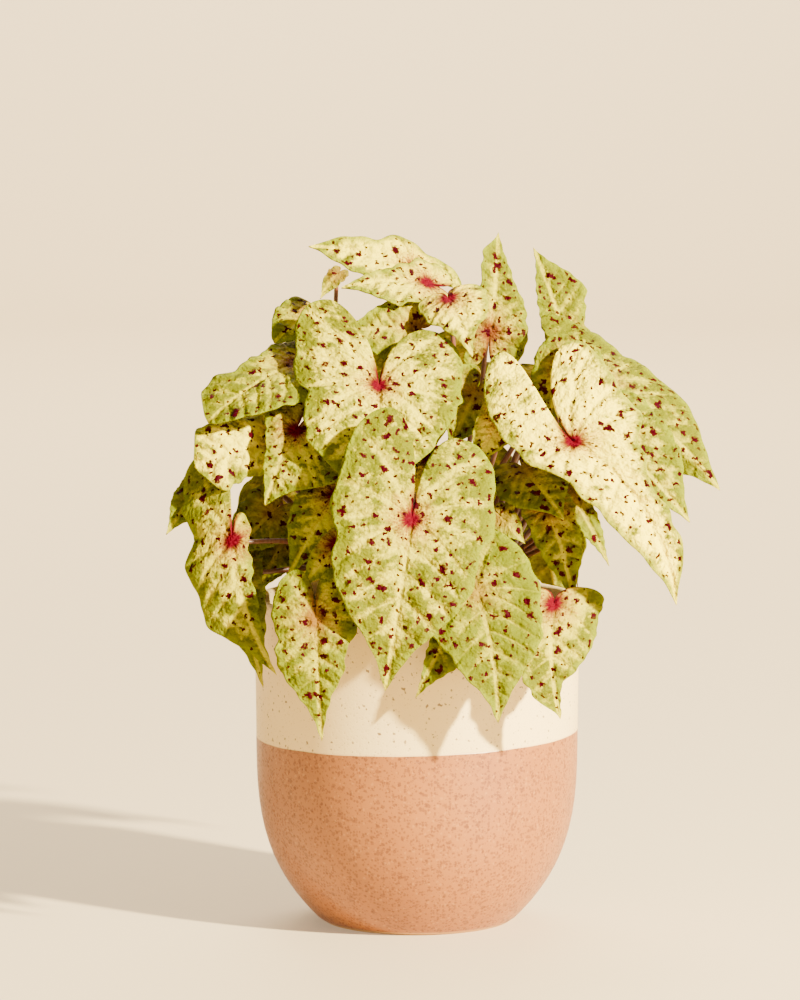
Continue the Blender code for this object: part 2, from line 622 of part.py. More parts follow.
def make_clump(name, clump, collection, material):
    """A tuber's crown with its petioles, fused into one body."""
    x, y = CROWNS[clump]
    bottom = SOIL_TOP - CROWN_DEPTH
    profile = [
        (0, SOIL_TOP + CROWN_HEIGHT),
        (0.6 * CROWN_RADIUS, SOIL_TOP + 0.9 * CROWN_HEIGHT),
        (0.9 * CROWN_RADIUS, SOIL_TOP + 0.5 * CROWN_HEIGHT),
        (CROWN_RADIUS, SOIL_TOP),
        (CROWN_RADIUS, bottom),
        (0, bottom),
    ]
    crown = turned(name, profile, collection, material, steps=12)
    crown.location = (x * MM, y * MM, 0)
    petioles = new_collection(f"petioles_of_{name}")
    for index, shape in enumerate(LEAVES):
        if shape["clump"] == clump:
            make_petiole(f"petiole_{index + 1:02d}", shape, petioles)
    fuse = crown.modifiers.new("Petioles", "BOOLEAN")
    fuse.operation = "UNION"
    fuse.operand_type = "COLLECTION"
    fuse.collection = petioles
    fuse.solver = "MANIFOLD"
    bpy.context.view_layer.update()
    graph = bpy.context.evaluated_depsgraph_get()
    fused = bpy.data.meshes.new_from_object(crown.evaluated_get(graph))
    crown.modifiers.clear()
    crown.data = fused
    for obj in list(petioles.objects):
        bpy.data.objects.remove(obj, do_unlink=True)
    bpy.data.collections.remove(petioles)
    return crown


def main():
    clear_scene()
    materials = make_materials()
    parts = new_collection(OBJECT_NAME)
    cutters = new_collection("cutters", hidden=True)
    make_pot(parts, materials["pot_glaze"])
    make_grow_pot(parts, cutters, materials["grow_pot_plastic"])
    make_soil(parts, cutters, materials["potting_soil"])
    for clump in CROWNS:
        make_clump(f"stems_{clump}", clump, parts, materials["petiole_skin"])
    for index, shape in enumerate(LEAVES):
        make_leaf(f"leaf_{index + 1:02d}", shape, parts, materials["leaf_blade"])


main()
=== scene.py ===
# %% [markdown]
# # A potted caladium, dressed for its portrait
# A caladium grows from tubers in a plastic grow pot, and the grow pot stands in a glazed
# cover pot. The frame brings every solid at its real size and place. Each cell below either
# dresses one of these solids with a finer piece or gives it a finish.

# %% Load the frame
import math
import random

import bpy
import numpy as np
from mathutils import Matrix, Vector


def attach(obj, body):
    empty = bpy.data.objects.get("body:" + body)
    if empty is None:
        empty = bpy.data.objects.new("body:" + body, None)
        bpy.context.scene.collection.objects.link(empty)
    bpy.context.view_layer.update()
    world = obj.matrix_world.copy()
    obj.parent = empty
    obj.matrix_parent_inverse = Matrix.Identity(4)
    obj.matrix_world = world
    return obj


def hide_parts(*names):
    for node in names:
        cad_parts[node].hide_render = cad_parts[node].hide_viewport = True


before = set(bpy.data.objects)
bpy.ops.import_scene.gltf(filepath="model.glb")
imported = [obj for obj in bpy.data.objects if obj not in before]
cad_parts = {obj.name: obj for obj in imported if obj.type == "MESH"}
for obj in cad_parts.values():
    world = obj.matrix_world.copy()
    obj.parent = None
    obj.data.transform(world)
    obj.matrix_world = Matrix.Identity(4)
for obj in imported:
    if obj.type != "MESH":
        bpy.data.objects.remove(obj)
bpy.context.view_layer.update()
MM = 0.001
print("solids in the frame:", len(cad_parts))

# %% [markdown]
# ## Camera
# The portrait is taken from a little above the pot's rim and from far away, so the pot's
# walls look nearly parallel. A long lens far off gives that calm view, and a short lens close
# by would make the front leaves balloon.

# %% Camera
CAMERA_PLACE = (-8.1 * MM, -2500 * MM, 485 * MM)
CAMERA_TILT = 6.46
CAMERA_LENS = 189.9
camera_data = bpy.data.cameras.new("portrait_camera")
camera_data.lens = CAMERA_LENS
camera = bpy.data.objects.new("portrait_camera", camera_data)
bpy.context.scene.collection.objects.link(camera)
camera.location = CAMERA_PLACE
camera.rotation_euler = (math.radians(90 - CAMERA_TILT), 0, 0)
bpy.context.scene.camera = camera
print("lens in mm:", camera_data.lens)

# %% [markdown]
# ## Small helpers for the mesh work
# The frame arrives with its solids selected, and an operator acts on all that is selected.
# So every step starts with nothing selected, and then picks only what it needs.

# %% Helpers for selecting
def mode(name):
    """Switch to edit mode or back to object mode."""
    bpy.ops.object.mode_set(mode=name)


def deselect_all():
    """Leave edit mode and select nothing."""
    if bpy.context.mode != "OBJECT":
        mode("OBJECT")
    bpy.ops.object.select_all(action="DESELECT")


def pick(*objects):
    """Select these objects only, the first one active."""
    deselect_all()
    for obj in objects:
        obj.select_set(True)
    bpy.context.view_layer.objects.active = objects[0]


def unpick_all(kind):
    """Unselect every face or edge of the active mesh, so that code can pick some of them."""
    mode("EDIT")
    bpy.ops.mesh.select_mode(type=kind)
    bpy.ops.mesh.select_all(action="DESELECT")
    mode("OBJECT")


def extrude(move):
    """Extrude what is selected in edit mode by a move in metres."""
    bpy.ops.mesh.extrude_region_move(TRANSFORM_OT_translate={"value": move})


# %% Helpers for finishing
def apply_place(obj):
    """Put an object's place, turn and size into its mesh."""
    pick(obj)
    bpy.ops.object.transform_apply(location=True, rotation=True, scale=True)
    return obj


def join_pieces(name, pieces):
    """Join several objects into one mesh object with its place in its mesh."""
    pick(*pieces)
    if len(pieces) > 1:
        bpy.ops.object.join()
    joined = bpy.context.object
    joined.name = joined.data.name = name
    return apply_place(joined)


def weld(distance, outwards=False):
    """Merge the active mesh's points that touch, and turn its faces outwards if asked to."""
    mode("EDIT")
    bpy.ops.mesh.select_all(action="SELECT")
    bpy.ops.mesh.remove_doubles(threshold=distance)
    if outwards:
        bpy.ops.mesh.normals_make_consistent(inside=False)
    mode("OBJECT")


def apply_modifiers(obj):
    """Apply an object's modifiers in their order."""
    pick(obj)
    for modifier in list(obj.modifiers):
        bpy.ops.object.modifier_apply(modifier=modifier.name)


def dress(piece, *materials):
    """Give a piece these materials and no others."""
    piece.data.materials.clear()
    for material in materials:
        piece.data.materials.append(material)


def settle(piece, slot, *nodes):
    """Tie a finished piece to the frame's root body and hide the solids it stands for; slot is not used.
    """
    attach(piece, "root")
    if nodes:
        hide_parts(*nodes)


# %% [markdown]
# ## Small helpers for the materials
# A material is a chain of small sums on positions and noises. A recipe holds one node tree,
# and each of its methods places one kind of node, so that a finish below reads as a list of
# steps and not as a list of links. A finish is a recipe that ends in a material's shader.

# %% Helpers for shader nodes
class Recipe:
    """A node tree, written down step by step."""

    def __init__(self, tree):
        self.tree = tree

    def feed(self, socket, value):
        """Link a value to a socket, or set the socket where the value is a plain one."""
        if isinstance(value, bpy.types.NodeSocket):
            self.tree.links.new(value, socket)
        elif socket.type == "RGBA":
            socket.default_value = (*value, 1)
        else:
            socket.default_value = value

    def add(self, kind, inputs, **options):
        """Place a node with its options and inputs, and hand back its outputs."""
        made = self.tree.nodes.new("ShaderNode" + kind)
        for name, value in options.items():
            setattr(made, name, value)
        for name, value in inputs.items():
            self.feed(made.inputs[name], value)
        return made.outputs

    def calc(self, operation, *values):
        """A Math node on one or two values, each a number or a socket."""
        return self.add("Math", dict(enumerate(values)), operation=operation)[0]

    def plus(self, first, second):
        return self.calc("ADD", first, second)

    def minus(self, first, second):
        return self.calc("SUBTRACT", first, second)

    def times(self, first, second):
        return self.calc("MULTIPLY", first, second)

    def larger(self, first, second):
        return self.calc("MAXIMUM", first, second)

    def vectors(self, operation, first, second):
        """A Vector Math node, whose second value is a plain number for SCALE."""
        second_input = "Scale" if operation == "SCALE" else 1
        return self.add("VectorMath", {0: first, second_input: second}, operation=operation)[0]

    def split(self, vector):
        """The three numbers of a vector."""
        return tuple(self.add("SeparateXYZ", {"Vector": vector}))

    def ramp(self, value, start, end, low=0, high=1):
        """A smooth step: low before start, high after end."""
        inputs = {"Value": value, "From Min": start, "From Max": end, "To Min": low, "To Max": high}
        return self.add("MapRange", inputs, interpolation_type="SMOOTHSTEP")["Result"]

    def noise(self, place, scale, detail=2, roughness=0.5):
        """A soft random value from 0 to 1 that changes over the surface."""
        inputs = {"Vector": place, "Scale": scale, "Detail": detail, "Roughness": roughness}
        return self.add("TexNoise", inputs)["Fac"]

    def blend(self, share, first, second):
        """Mix two colours by a share."""
        return self.add("Mix", {0: share, 6: first, 7: second}, data_type="RGBA")[2]

    def paint(self, colour, mask, weight, coat):
        """Lay a coat over a colour where a mask says so, as strongly as the weight."""
        return self.blend(self.times(mask, weight), colour, coat)

    def specks(self, group, place, spacing, radius, share, ragged):
        """A speckle group placed with its own sizes."""
        sizes = {"Spacing": spacing, "Radius": radius, "Share": share, "Ragged": ragged}
        return self.add("Group", {"Place": place, **sizes}, node_tree=group)["Mask"]


class Finish(Recipe):
    """A material whose recipe ends in its own Principled shader."""

    def __init__(self, name, plain=None):
        self.material = bpy.data.materials.new(name)
        self.material.use_nodes = True
        super().__init__(self.material.node_tree)
        self.shader = self.tree.nodes["Principled BSDF"].inputs
        for socket, value in (plain or {}).items():
            self.feed(self.shader[socket], value)

    def place(self):
        """The point's place in metres."""
        return self.add("TexCoord", {})["Object"]

    def attribute(self, name):
        return self.add("Attribute", {}, attribute_name=name)

    def done(self, colour, relief=None, depth=0, rough=None):
        """Send the colour, the relief times its depth in metres, and the roughness to the shader."""
        self.feed(self.shader["Base Color"], colour)
        if rough:
            self.feed(self.shader["Roughness"], rough)
        if relief:
            bump = self.add("Bump", {"Height": relief, "Distance": depth, "Strength": 1})
            self.feed(self.shader["Normal"], bump["Normal"])
        return self.material


# %% [markdown]
# ## Speckle, a shared effect
# Glazes, plastic and leaves carry specks: small dots at random places, each of its own
# size. A Voronoi pattern gives one random cell a dot, and the group turns the distance to
# the cell's middle into a mask. One group strews dots through space, and a surface cuts them
# at any height. The other strews them on a flat skin, where every dot shows in full.

# %% Speckle groups
SPECKLE_SIZES = {"Spacing": 2 * MM, "Radius": 0.4 * MM, "Share": 0.5, "Ragged": 0.3}
SHAKE_SCALE = 2.3
SMALLEST_DOT = 0.45
DOT_INNER = 0.75
DOT_OUTER = 1.15


def make_speckle_group(name, dimensions):
    """The effect as a node group, in space as 3D or on a skin as 2D."""
    group = bpy.data.node_groups.new(name, "ShaderNodeTree")
    sockets = group.interface
    sockets.new_socket("Place", in_out="INPUT", socket_type="NodeSocketVector")
    for size, usual in SPECKLE_SIZES.items():
        socket = sockets.new_socket(size, in_out="INPUT", socket_type="NodeSocketFloat")
        socket.default_value = usual
    sockets.new_socket("Mask", in_out="OUTPUT", socket_type="NodeSocketFloat")
    given = group.nodes.new("NodeGroupInput").outputs
    mask = group.nodes.new("NodeGroupOutput").inputs["Mask"]

    mix = Recipe(group)
    density = mix.calc("DIVIDE", 1, given["Spacing"])
    grid = mix.vectors("SCALE", given["Place"], density)
    shake = mix.add("TexNoise", {"Vector": grid, "Scale": SHAKE_SCALE, "Detail": 1})["Color"]
    shake = mix.vectors("SUBTRACT", shake, (0.5, 0.5, 0.5))
    moved = mix.vectors("ADD", grid, mix.vectors("SCALE", shake, given["Ragged"]))
    inputs = {"Vector": moved, "Scale": 1}
    cells = mix.add("TexVoronoi", inputs, voronoi_dimensions=dimensions)
    chance = mix.add("SeparateColor", {"Color": cells["Color"]})["Red"]
    missing = mix.minus(1, given["Share"])
    present = mix.calc("GREATER_THAN", chance, missing)
    size = mix.times(mix.ramp(chance, missing, 1), 1 - SMALLEST_DOT)
    radius = mix.times(mix.times(given["Radius"], density), mix.plus(SMALLEST_DOT, size))
    inner, outer = mix.times(radius, DOT_INNER), mix.times(radius, DOT_OUTER)
    dot = mix.ramp(cells["Distance"], inner, outer, 1, 0)
    mix.feed(mask, mix.times(dot, present))
    return group


SPECKLE = make_speckle_group("speckle", "3D")
SKIN_SPECKLE = make_speckle_group("skin_speckle", "2D")
print("speckle group nodes:", len(SPECKLE.nodes))

# %% [markdown]
# ## Turning a pot ring by ring
# A pot is turned on a wheel. By hand in Blender it can be a flat disc whose upper face is
# extruded again and again, each time scaled to the next radius: up the outside, over the lip
# and down the inside. That keeps one closed wall with even rings, which a Screw would leave
# open at the middle.

# %% Helper that turns a wall from a disc
TURNED_CREASE = math.radians(40)


def turn_from_disc(name, first, rings, sides):
    """A closed turned body: a disc at first (radius, height), extruded through the rings."""
    (low_radius, low), (radius, height) = first, rings[0]
    deselect_all()
    bpy.ops.mesh.primitive_cone_add(
        vertices=sides,
        radius1=low_radius,
        radius2=radius,
        depth=height - low,
        location=(0, 0, (height + low) / 2),
    )
    body = apply_place(bpy.context.object)
    body.name = body.data.name = name
    unpick_all("FACE")
    top = max(body.data.polygons, key=lambda face: (len(face.vertices) > 4, face.center.z))
    top.select = True
    mode("EDIT")
    for next_radius, next_height in rings[1:]:
        extrude((0, 0, next_height - height))
        share = next_radius / radius
        bpy.ops.transform.resize(value=(share, share, 1), center_override=(0, 0, next_height))
        radius, height = next_radius, next_height
    mode("OBJECT")
    bpy.ops.object.shade_smooth_by_angle(angle=TURNED_CREASE)
    return body


# %% [markdown]
# ## The cover pot
# The cover pot is a round-bellied stoneware pot with a soft lip. Its wall is nearly straight
# above and closes to a smaller foot below. The rings follow the same curve as the frame's
# solid, only closer together, so that the outline stays smooth from near by.

# %% Cover pot
FOOT_RADIUS = 45 * MM
BELLY_BASE_RADIUS = 46 * MM
BELLY_RADIUS = 77 * MM
BELLY_TOP = 95 * MM
BELLY_POWER = 3.3
BELLY_LEVELS = (2, 4, 6, 8.5, 11, 14, 18, 22, 27, 32, 38, 44, 51, 58, 66, 75, 85)
POT_HEIGHT = 156 * MM
RIM_RADIUS = 77.8 * MM
RIM_WALL = 4.6 * MM
THINNER_ABOVE = 0.6 * MM
FLOOR_TOP = 7 * MM
FLOOR_WALL = 3 * MM
FLOOR_ROUND = 3 * MM
BOWL_LEVELS = (66, 44, 28, 18, 11)
POT_SIDES = 128


def belly_radius(height):
    """Outer radius of the cover pot up to the top of its belly."""
    share = 1 - (1 - height / BELLY_TOP) ** BELLY_POWER
    return BELLY_BASE_RADIUS + (BELLY_RADIUS - BELLY_BASE_RADIUS) * share


def bowl_radius(height):
    """Inner radius of the cover pot, whose wall grows thicker towards the foot."""
    low = max(0.0, 1 - height / BELLY_TOP)
    wall = RIM_WALL - THINNER_ABOVE * (1 - low) + FLOOR_WALL * low**2
    return belly_radius(min(height, BELLY_TOP)) - wall


lip = RIM_WALL / 2
lip_turns = [math.radians(turn) for turn in range(0, 181, 15)]
pot_rings = [
    (FOOT_RADIUS + 1 * MM, 0.6 * MM),
    *[(belly_radius(level * MM), level * MM) for level in BELLY_LEVELS],
    (BELLY_RADIUS, BELLY_TOP),
    (BELLY_RADIUS + 0.3 * MM, 120 * MM),
    (RIM_RADIUS - 0.15 * MM, 145 * MM),
    *[
        (RIM_RADIUS - lip + lip * math.cos(turn), POT_HEIGHT - lip + lip * math.sin(turn))
        for turn in lip_turns
    ],
    (bowl_radius(BELLY_TOP), BELLY_TOP),
    *[(bowl_radius(level * MM), (level + 1) * MM) for level in BOWL_LEVELS],
    (bowl_radius(FLOOR_TOP) - FLOOR_ROUND, FLOOR_TOP),
]
cover_pot = turn_from_disc("cover_pot", (FOOT_RADIUS, 0), pot_rings, POT_SIDES)
settle(cover_pot, "pot_glaze", "pot")
print("cover pot faces:", len(cover_pot.data.polygons))

# %% [markdown]
# ## The two glazes
# The pot is dipped twice: all over in a cream glaze with few brown specks, then to three
# fifths of its height in a pink one whose iron specks lie close together. Where the pink glaze
# ends it is a little thicker, and a thin pale line shows where it thinned over the edge. The
# foot stays bare clay.

# %% Glaze colours and specks
GLAZE_LINE = 91 * MM
GLAZE_SLOPE = 0.025
GLAZE_WOBBLE = 0.6 * MM
GLAZE_DEPTH = 0.12 * MM
SEAM_HEIGHT = 0.3 * MM
SEAM_HALF = 0.6 * MM

# Where one finish gives way to the next, each as its start and end
GLAZE_EDGE = (-0.2 * MM, 0.3 * MM)
INSIDE_RADIUS = (73.5 * MM, 74.5 * MM)
INSIDE_HEIGHT = (91.5 * MM, 93 * MM)
BARE_FOOT = (0.9 * MM, 1.7 * MM)

CREAM_GLAZE = (0.88, 0.66, 0.28)
DEEP_CREAM = (0.83, 0.60, 0.23)
FAINT_SPECK = (0.36, 0.19, 0.06)
CREAM_SPECK = (0.12, 0.05, 0.012)
PINK_GLAZE = (0.33, 0.108, 0.017)
LIGHT_PINK = (0.37, 0.127, 0.02)
PALE_SPECK = (0.50, 0.21, 0.045)
PINK_SPECK = (0.12, 0.028, 0.005)
THIN_GLAZE = (0.80, 0.52, 0.22)
BARE_CLAY = (0.62, 0.36, 0.14)

# Layers of specks: spacing and radius in millimetres, share, raggedness, weight and colour
CREAM_LAYERS = [
    (1.4, 0.4, 0.6, 0.4, 0.35, FAINT_SPECK),
    (2.7, 0.6, 0.6, 0.5, 0.75, CREAM_SPECK),
    (5.6, 0.95, 0.6, 0.6, 0.85, CREAM_SPECK),
]
PINK_LAYERS = [
    (1.9, 0.8, 0.5, 0.6, 0.45, PALE_SPECK),
    (1.4, 0.8, 0.75, 0.7, 0.55, PINK_SPECK),
    (2.6, 1.2, 0.6, 0.8, 0.5, PINK_SPECK),
]


def spatter(mix, place, colour, layers):
    """A colour with layers of specks over it, and the layers' masks."""
    masks = []
    for spacing, radius, share, ragged, weight, coat in layers:
        masks.append(mix.specks(SPECKLE, place, spacing * MM, radius * MM, share, ragged))
        colour = mix.paint(colour, masks[-1], weight, coat)
    return colour, masks


# %% Glaze material
def make_glaze():
    mix = Finish("two_glazes", {"Coat Weight": 0.12, "Coat Roughness": 0.3})
    place = mix.place()
    x, y, z = mix.split(place)
    wobble = mix.times(mix.noise(place, 60, 1), GLAZE_WOBBLE)
    height = mix.plus(mix.minus(z, mix.times(x, GLAZE_SLOPE)), wobble)
    height = mix.minus(height, GLAZE_LINE)
    from_axis = mix.calc("SQRT", mix.plus(mix.calc("POWER", x, 2), mix.calc("POWER", y, 2)))
    inside = mix.ramp(from_axis, *INSIDE_RADIUS, 1, 0)
    inside = mix.times(inside, mix.ramp(z, *INSIDE_HEIGHT))
    upper = mix.larger(mix.ramp(height, *GLAZE_EDGE), inside)

    cream = mix.blend(mix.ramp(mix.noise(place, 14, 3), 0.3, 0.75), CREAM_GLAZE, DEEP_CREAM)
    cream, _ = spatter(mix, place, cream, CREAM_LAYERS)
    pink = mix.blend(mix.ramp(mix.noise(place, 22, 4), 0.3, 0.72), PINK_GLAZE, LIGHT_PINK)
    pink, (_, dense, _) = spatter(mix, place, pink, PINK_LAYERS)
    colour = mix.blend(upper, pink, cream)
    seam = mix.calc("ABSOLUTE", mix.plus(height, -SEAM_HEIGHT))
    colour = mix.paint(colour, mix.ramp(seam, 0, SEAM_HALF, 1, 0), 0.6, THIN_GLAZE)
    foot = mix.ramp(z, *BARE_FOOT, 1, 0)
    colour = mix.blend(foot, colour, BARE_CLAY)

    rough = mix.larger(mix.plus(0.40, mix.times(dense, 0.12)), mix.times(foot, 0.85))
    relief = mix.minus(mix.times(mix.noise(place, 900), 0.25), mix.times(upper, 1.2))
    relief = mix.minus(relief, mix.times(dense, 0.25))
    relief = mix.plus(relief, mix.times(mix.noise(place, 35), 1.5))
    return mix.done(colour, relief, GLAZE_DEPTH, rough)


dress(cover_pot, make_glaze())

# %% [markdown]
# ## The grow pot
# The plant was raised in a thin plastic pot with a folded rim, and it still stands in it. Only
# its rim shows, from above. It is turned like the cover pot, and its drain holes are cut
# through the floor with five cylinders.

# %% Grow pot
SEAT_GAP = 0.3 * MM
GROW_BASE_RADIUS = 41 * MM
GROW_TOP_RADIUS = 68.5 * MM
GROW_RIM_RADIUS = 70.5 * MM
GROW_RIM_DEPTH = 5 * MM
GROW_HEIGHT = 142 * MM
GROW_WALL = 1.6 * MM
GROW_SIDES = 96
DRAIN_RADIUS = 4 * MM
DRAIN_RING = 26 * MM
DRAIN_HOLES = 5
DRAIN_SIDES = 24
grow_floor = FLOOR_TOP + SEAT_GAP
grow_top = grow_floor + GROW_HEIGHT


def grow_radius(height):
    """Outer radius of the grow pot's tapered wall."""
    share = (height - grow_floor) / GROW_HEIGHT
    return GROW_BASE_RADIUS + (GROW_TOP_RADIUS - GROW_BASE_RADIUS) * share


under_rim = grow_top - GROW_RIM_DEPTH
grow_rings = [
    (grow_radius(grow_floor + 40 * MM), grow_floor + 40 * MM),
    (grow_radius(grow_floor + 90 * MM), grow_floor + 90 * MM),
    (grow_radius(under_rim), under_rim),
    (GROW_RIM_RADIUS - 0.3 * MM, under_rim),
    (GROW_RIM_RADIUS, under_rim + 0.4 * MM),
    (GROW_RIM_RADIUS, grow_top - 0.7 * MM),
    (GROW_RIM_RADIUS - 0.3 * MM, grow_top - 0.15 * MM),
    (GROW_RIM_RADIUS - 0.9 * MM, grow_top),
    (grow_radius(grow_top) - GROW_WALL + 0.3 * MM, grow_top),
    (grow_radius(grow_top) - GROW_WALL, grow_top - 0.4 * MM),
    (grow_radius(grow_floor + 60 * MM) - GROW_WALL, grow_floor + 60 * MM),
    (grow_radius(grow_floor) - GROW_WALL, grow_floor + GROW_WALL),
]
grow_pot = turn_from_disc("nursery_pot", (GROW_BASE_RADIUS, grow_floor), grow_rings, GROW_SIDES)
drains = []
for index in range(DRAIN_HOLES):
    turn = math.tau * index / DRAIN_HOLES
    deselect_all()
    bpy.ops.mesh.primitive_cylinder_add(
        vertices=DRAIN_SIDES,
        radius=DRAIN_RADIUS,
        depth=5 * GROW_WALL,
        location=(DRAIN_RING * math.cos(turn), DRAIN_RING * math.sin(turn), grow_floor),
    )
    drains.append(bpy.context.object)
drain_cutter = join_pieces("drain_cutter", drains)
cut = grow_pot.modifiers.new("Drain holes", "BOOLEAN")
cut.operation = "DIFFERENCE"
cut.solver = "EXACT"
cut.object = drain_cutter
apply_modifiers(grow_pot)
bpy.data.objects.remove(drain_cutter, do_unlink=True)
settle(grow_pot, "grow_pot_plastic", "grow_pot")
print("grow pot faces:", len(grow_pot.data.polygons))

# %% Grow pot plastic
DARK_PLASTIC = (0.17, 0.14, 0.11)
DUSTY_PLASTIC = (0.34, 0.28, 0.21)
SCUFF = (0.12, 0.08, 0.05)


def make_plastic():
    mix = Finish("nursery_plastic")
    place = mix.place()
    dust = mix.ramp(mix.noise(place, 80, 4), 0.45, 0.75)
    scuffs = mix.specks(SPECKLE, place, 4 * MM, 0.6 * MM, 0.4, 0.9)
    colour = mix.paint(DARK_PLASTIC, dust, 0.35, DUSTY_PLASTIC)
    colour = mix.paint(colour, scuffs, 0.4, SCUFF)
    rough = mix.plus(0.42, mix.times(dust, 0.3))
    return mix.done(colour, mix.noise(place, 1500, 1), 0.04 * MM, rough)


dress(grow_pot, make_plastic())

# %% [markdown]
# ## Soil
# Potting mix is peat and bark in crumbs of every size, with white perlite. The solid keeps its
# shape and gets a rough dark finish. Loose crumbs lie on top of it: one small ball of twenty
# faces is copied a few hundred times, each copy squeezed, turned and set down on its own.

# %% Soil finish
PEAT = (0.018, 0.011, 0.007)
DRY_PEAT = (0.075, 0.047, 0.028)
PERLITE = (0.55, 0.52, 0.47)
WHITE_PERLITE = (0.82, 0.80, 0.75)
FIBRE = (0.20, 0.13, 0.07)


def make_soil_material(name, dark, light):
    mix = Finish(name, {"Roughness": 0.95})
    place = mix.place()
    lumps = mix.noise(place, 260, 5, 0.65)
    fibre = mix.noise(place, 900, 3)
    colour = mix.blend(mix.ramp(lumps, 0.35, 0.7), dark, light)
    colour = mix.blend(mix.ramp(fibre, 0.62, 0.8, 0, 0.5), colour, FIBRE)
    return mix.done(colour, mix.plus(lumps, mix.times(fibre, 0.3)), 1.2 * MM)


soil_material = make_soil_material("potting_mix", PEAT, DRY_PEAT)
dress(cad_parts["soil"], soil_material)

# %% Loose crumbs
SOIL_TOP = 136 * MM
SOIL_DOME = 2 * MM
SOIL_RADIUS = 65 * MM
SOIL_FLAT = 0.55 * SOIL_RADIUS
CRUMBS = 620
CRUMB_RING = 62 * MM
CRUMB_ROOM = 2.6 * MM
PERLITE_SHARE = 0.09
CRUMB_SIZES = (0.5, 1.9)
CRUMB_STRETCH = (0.8, 1.5)
CRUMB_FLATNESS = (0.5, 0.9)
CRUMB_LIFT = 0.15 * MM
CROWN_RADIUS = 8 * MM
CROWNS = {
    "front": (0, -24),
    "left": (-26, -8),
    "right": (26, -8),
    "back_left": (-15, 24),
    "back_right": (15, 24),
}


def soil_height(radius):
    """Height of the soil's domed top at a distance from the pot's axis."""
    slope = min(1, (SOIL_RADIUS - radius) / (SOIL_RADIUS - SOIL_FLAT))
    return SOIL_TOP + SOIL_DOME * slope


def crumb_spot(chance):
    """A place on the soil that keeps clear of the tubers."""
    while True:
        radius = CRUMB_RING * math.sqrt(chance.random())
        turn = chance.uniform(0, math.tau)
        x, y = radius * math.cos(turn), radius * math.sin(turn)
        gaps = [math.hypot(x - cx * MM, y - cy * MM) for cx, cy in CROWNS.values()]
        if min(gaps) > CROWN_RADIUS + CRUMB_ROOM:
            return x, y, soil_height(radius)


chance = random.Random(7)
deselect_all()
bpy.ops.mesh.primitive_ico_sphere_add(subdivisions=1, radius=1 * MM)
first_crumb = bpy.context.object
dress(first_crumb, soil_material, make_soil_material("perlite", PERLITE, WHITE_PERLITE))
crumbs = []
for index in range(CRUMBS):
    crumb = first_crumb.copy()
    crumb.data = first_crumb.data.copy()
    bpy.context.scene.collection.objects.link(crumb)
    size = chance.uniform(*CRUMB_SIZES)
    stretch, flatness = chance.uniform(*CRUMB_STRETCH), chance.uniform(*CRUMB_FLATNESS)
    crumb.scale = (size * stretch, size, size * flatness)
    crumb.rotation_euler = [chance.uniform(0, math.pi) for _ in range(3)]
    x, y, z = crumb_spot(chance)
    crumb.location = (x, y, z + CRUMB_LIFT * size)
    kind = 1 if chance.random() < PERLITE_SHARE else 0
    crumb.data.polygons.foreach_set("material_index", [kind] * len(crumb.data.polygons))
    crumbs.append(crumb)
bpy.data.objects.remove(first_crumb, do_unlink=True)
loose_crumbs = join_pieces("loose_crumbs", crumbs)
settle(loose_crumbs, "potting_soil")
print("crumb faces:", len(loose_crumbs.data.polygons))

# %% [markdown]
# ## How a blade is bent
# A caladium blade hangs from the point where its stalk meets it. The midrib droops in an arc
# from there to the tip, two lobes run back on both sides of a slit, and the margin waves.
# Such a surface has no primitive near it. Each half starts as a flat grid, and its points
# are placed by a formula in the leaf's own sizes: along the midrib, out from it, and up.

# %% Blade shape, in shares of the midrib's length, degrees and millimetres
PLAIN_HALF = {
    "width": 0.47,
    "lobe": 0.55,
    "back": 15,  # how far the lobe bends away behind the face
    "fold": 12,  # how far the half rises from the midrib
    "edge": (1, 1),  # the margin against the plain outline, from lobe end to tip
}
PLAIN_BLADE = {
    "bend": 30,  # the midrib's droop
    "curl": -25,  # turn of a half from midrib to margin
    "sweep": 0,  # sideways bow of the midrib
    "yaw": 0,  # turn of the lobes in the blade's plane
    "splay": 0,  # parting of the lobes
    "lobe_line": 0.40,
    "narrowing": 0.45,
    "narrow_from": 0.5,
    "blunt": 0,
    "wave": 1.2,  # height of the margin's waves
    "waves": 4.5,
    "arrive": None,  # the way the stalk runs where it meets the blade
    "reach": 0.35,
    "rise": 50,  # how far the stalk climbs before it leans out
    "seat": 0.8,  # from the blade's middle to the stalk's end
}


def leaf(clump, heart, tip, face, tone_and_light, **shape):
    """One leaf: its tuber, where the stalk meets the blade, the tip, the way it faces, its tone.

    A half's size holds for both halves, unless its name starts with left or right.
    """
    halves = {}
    for name, plain in PLAIN_HALF.items():
        halves["left_" + name] = halves["right_" + name] = shape.pop(name, plain)
    given = {"clump": clump, "heart": heart, "tip": tip, "face": face, "tone_and_light": tone_and_light}
    return {**PLAIN_BLADE, **halves, **given, **shape}
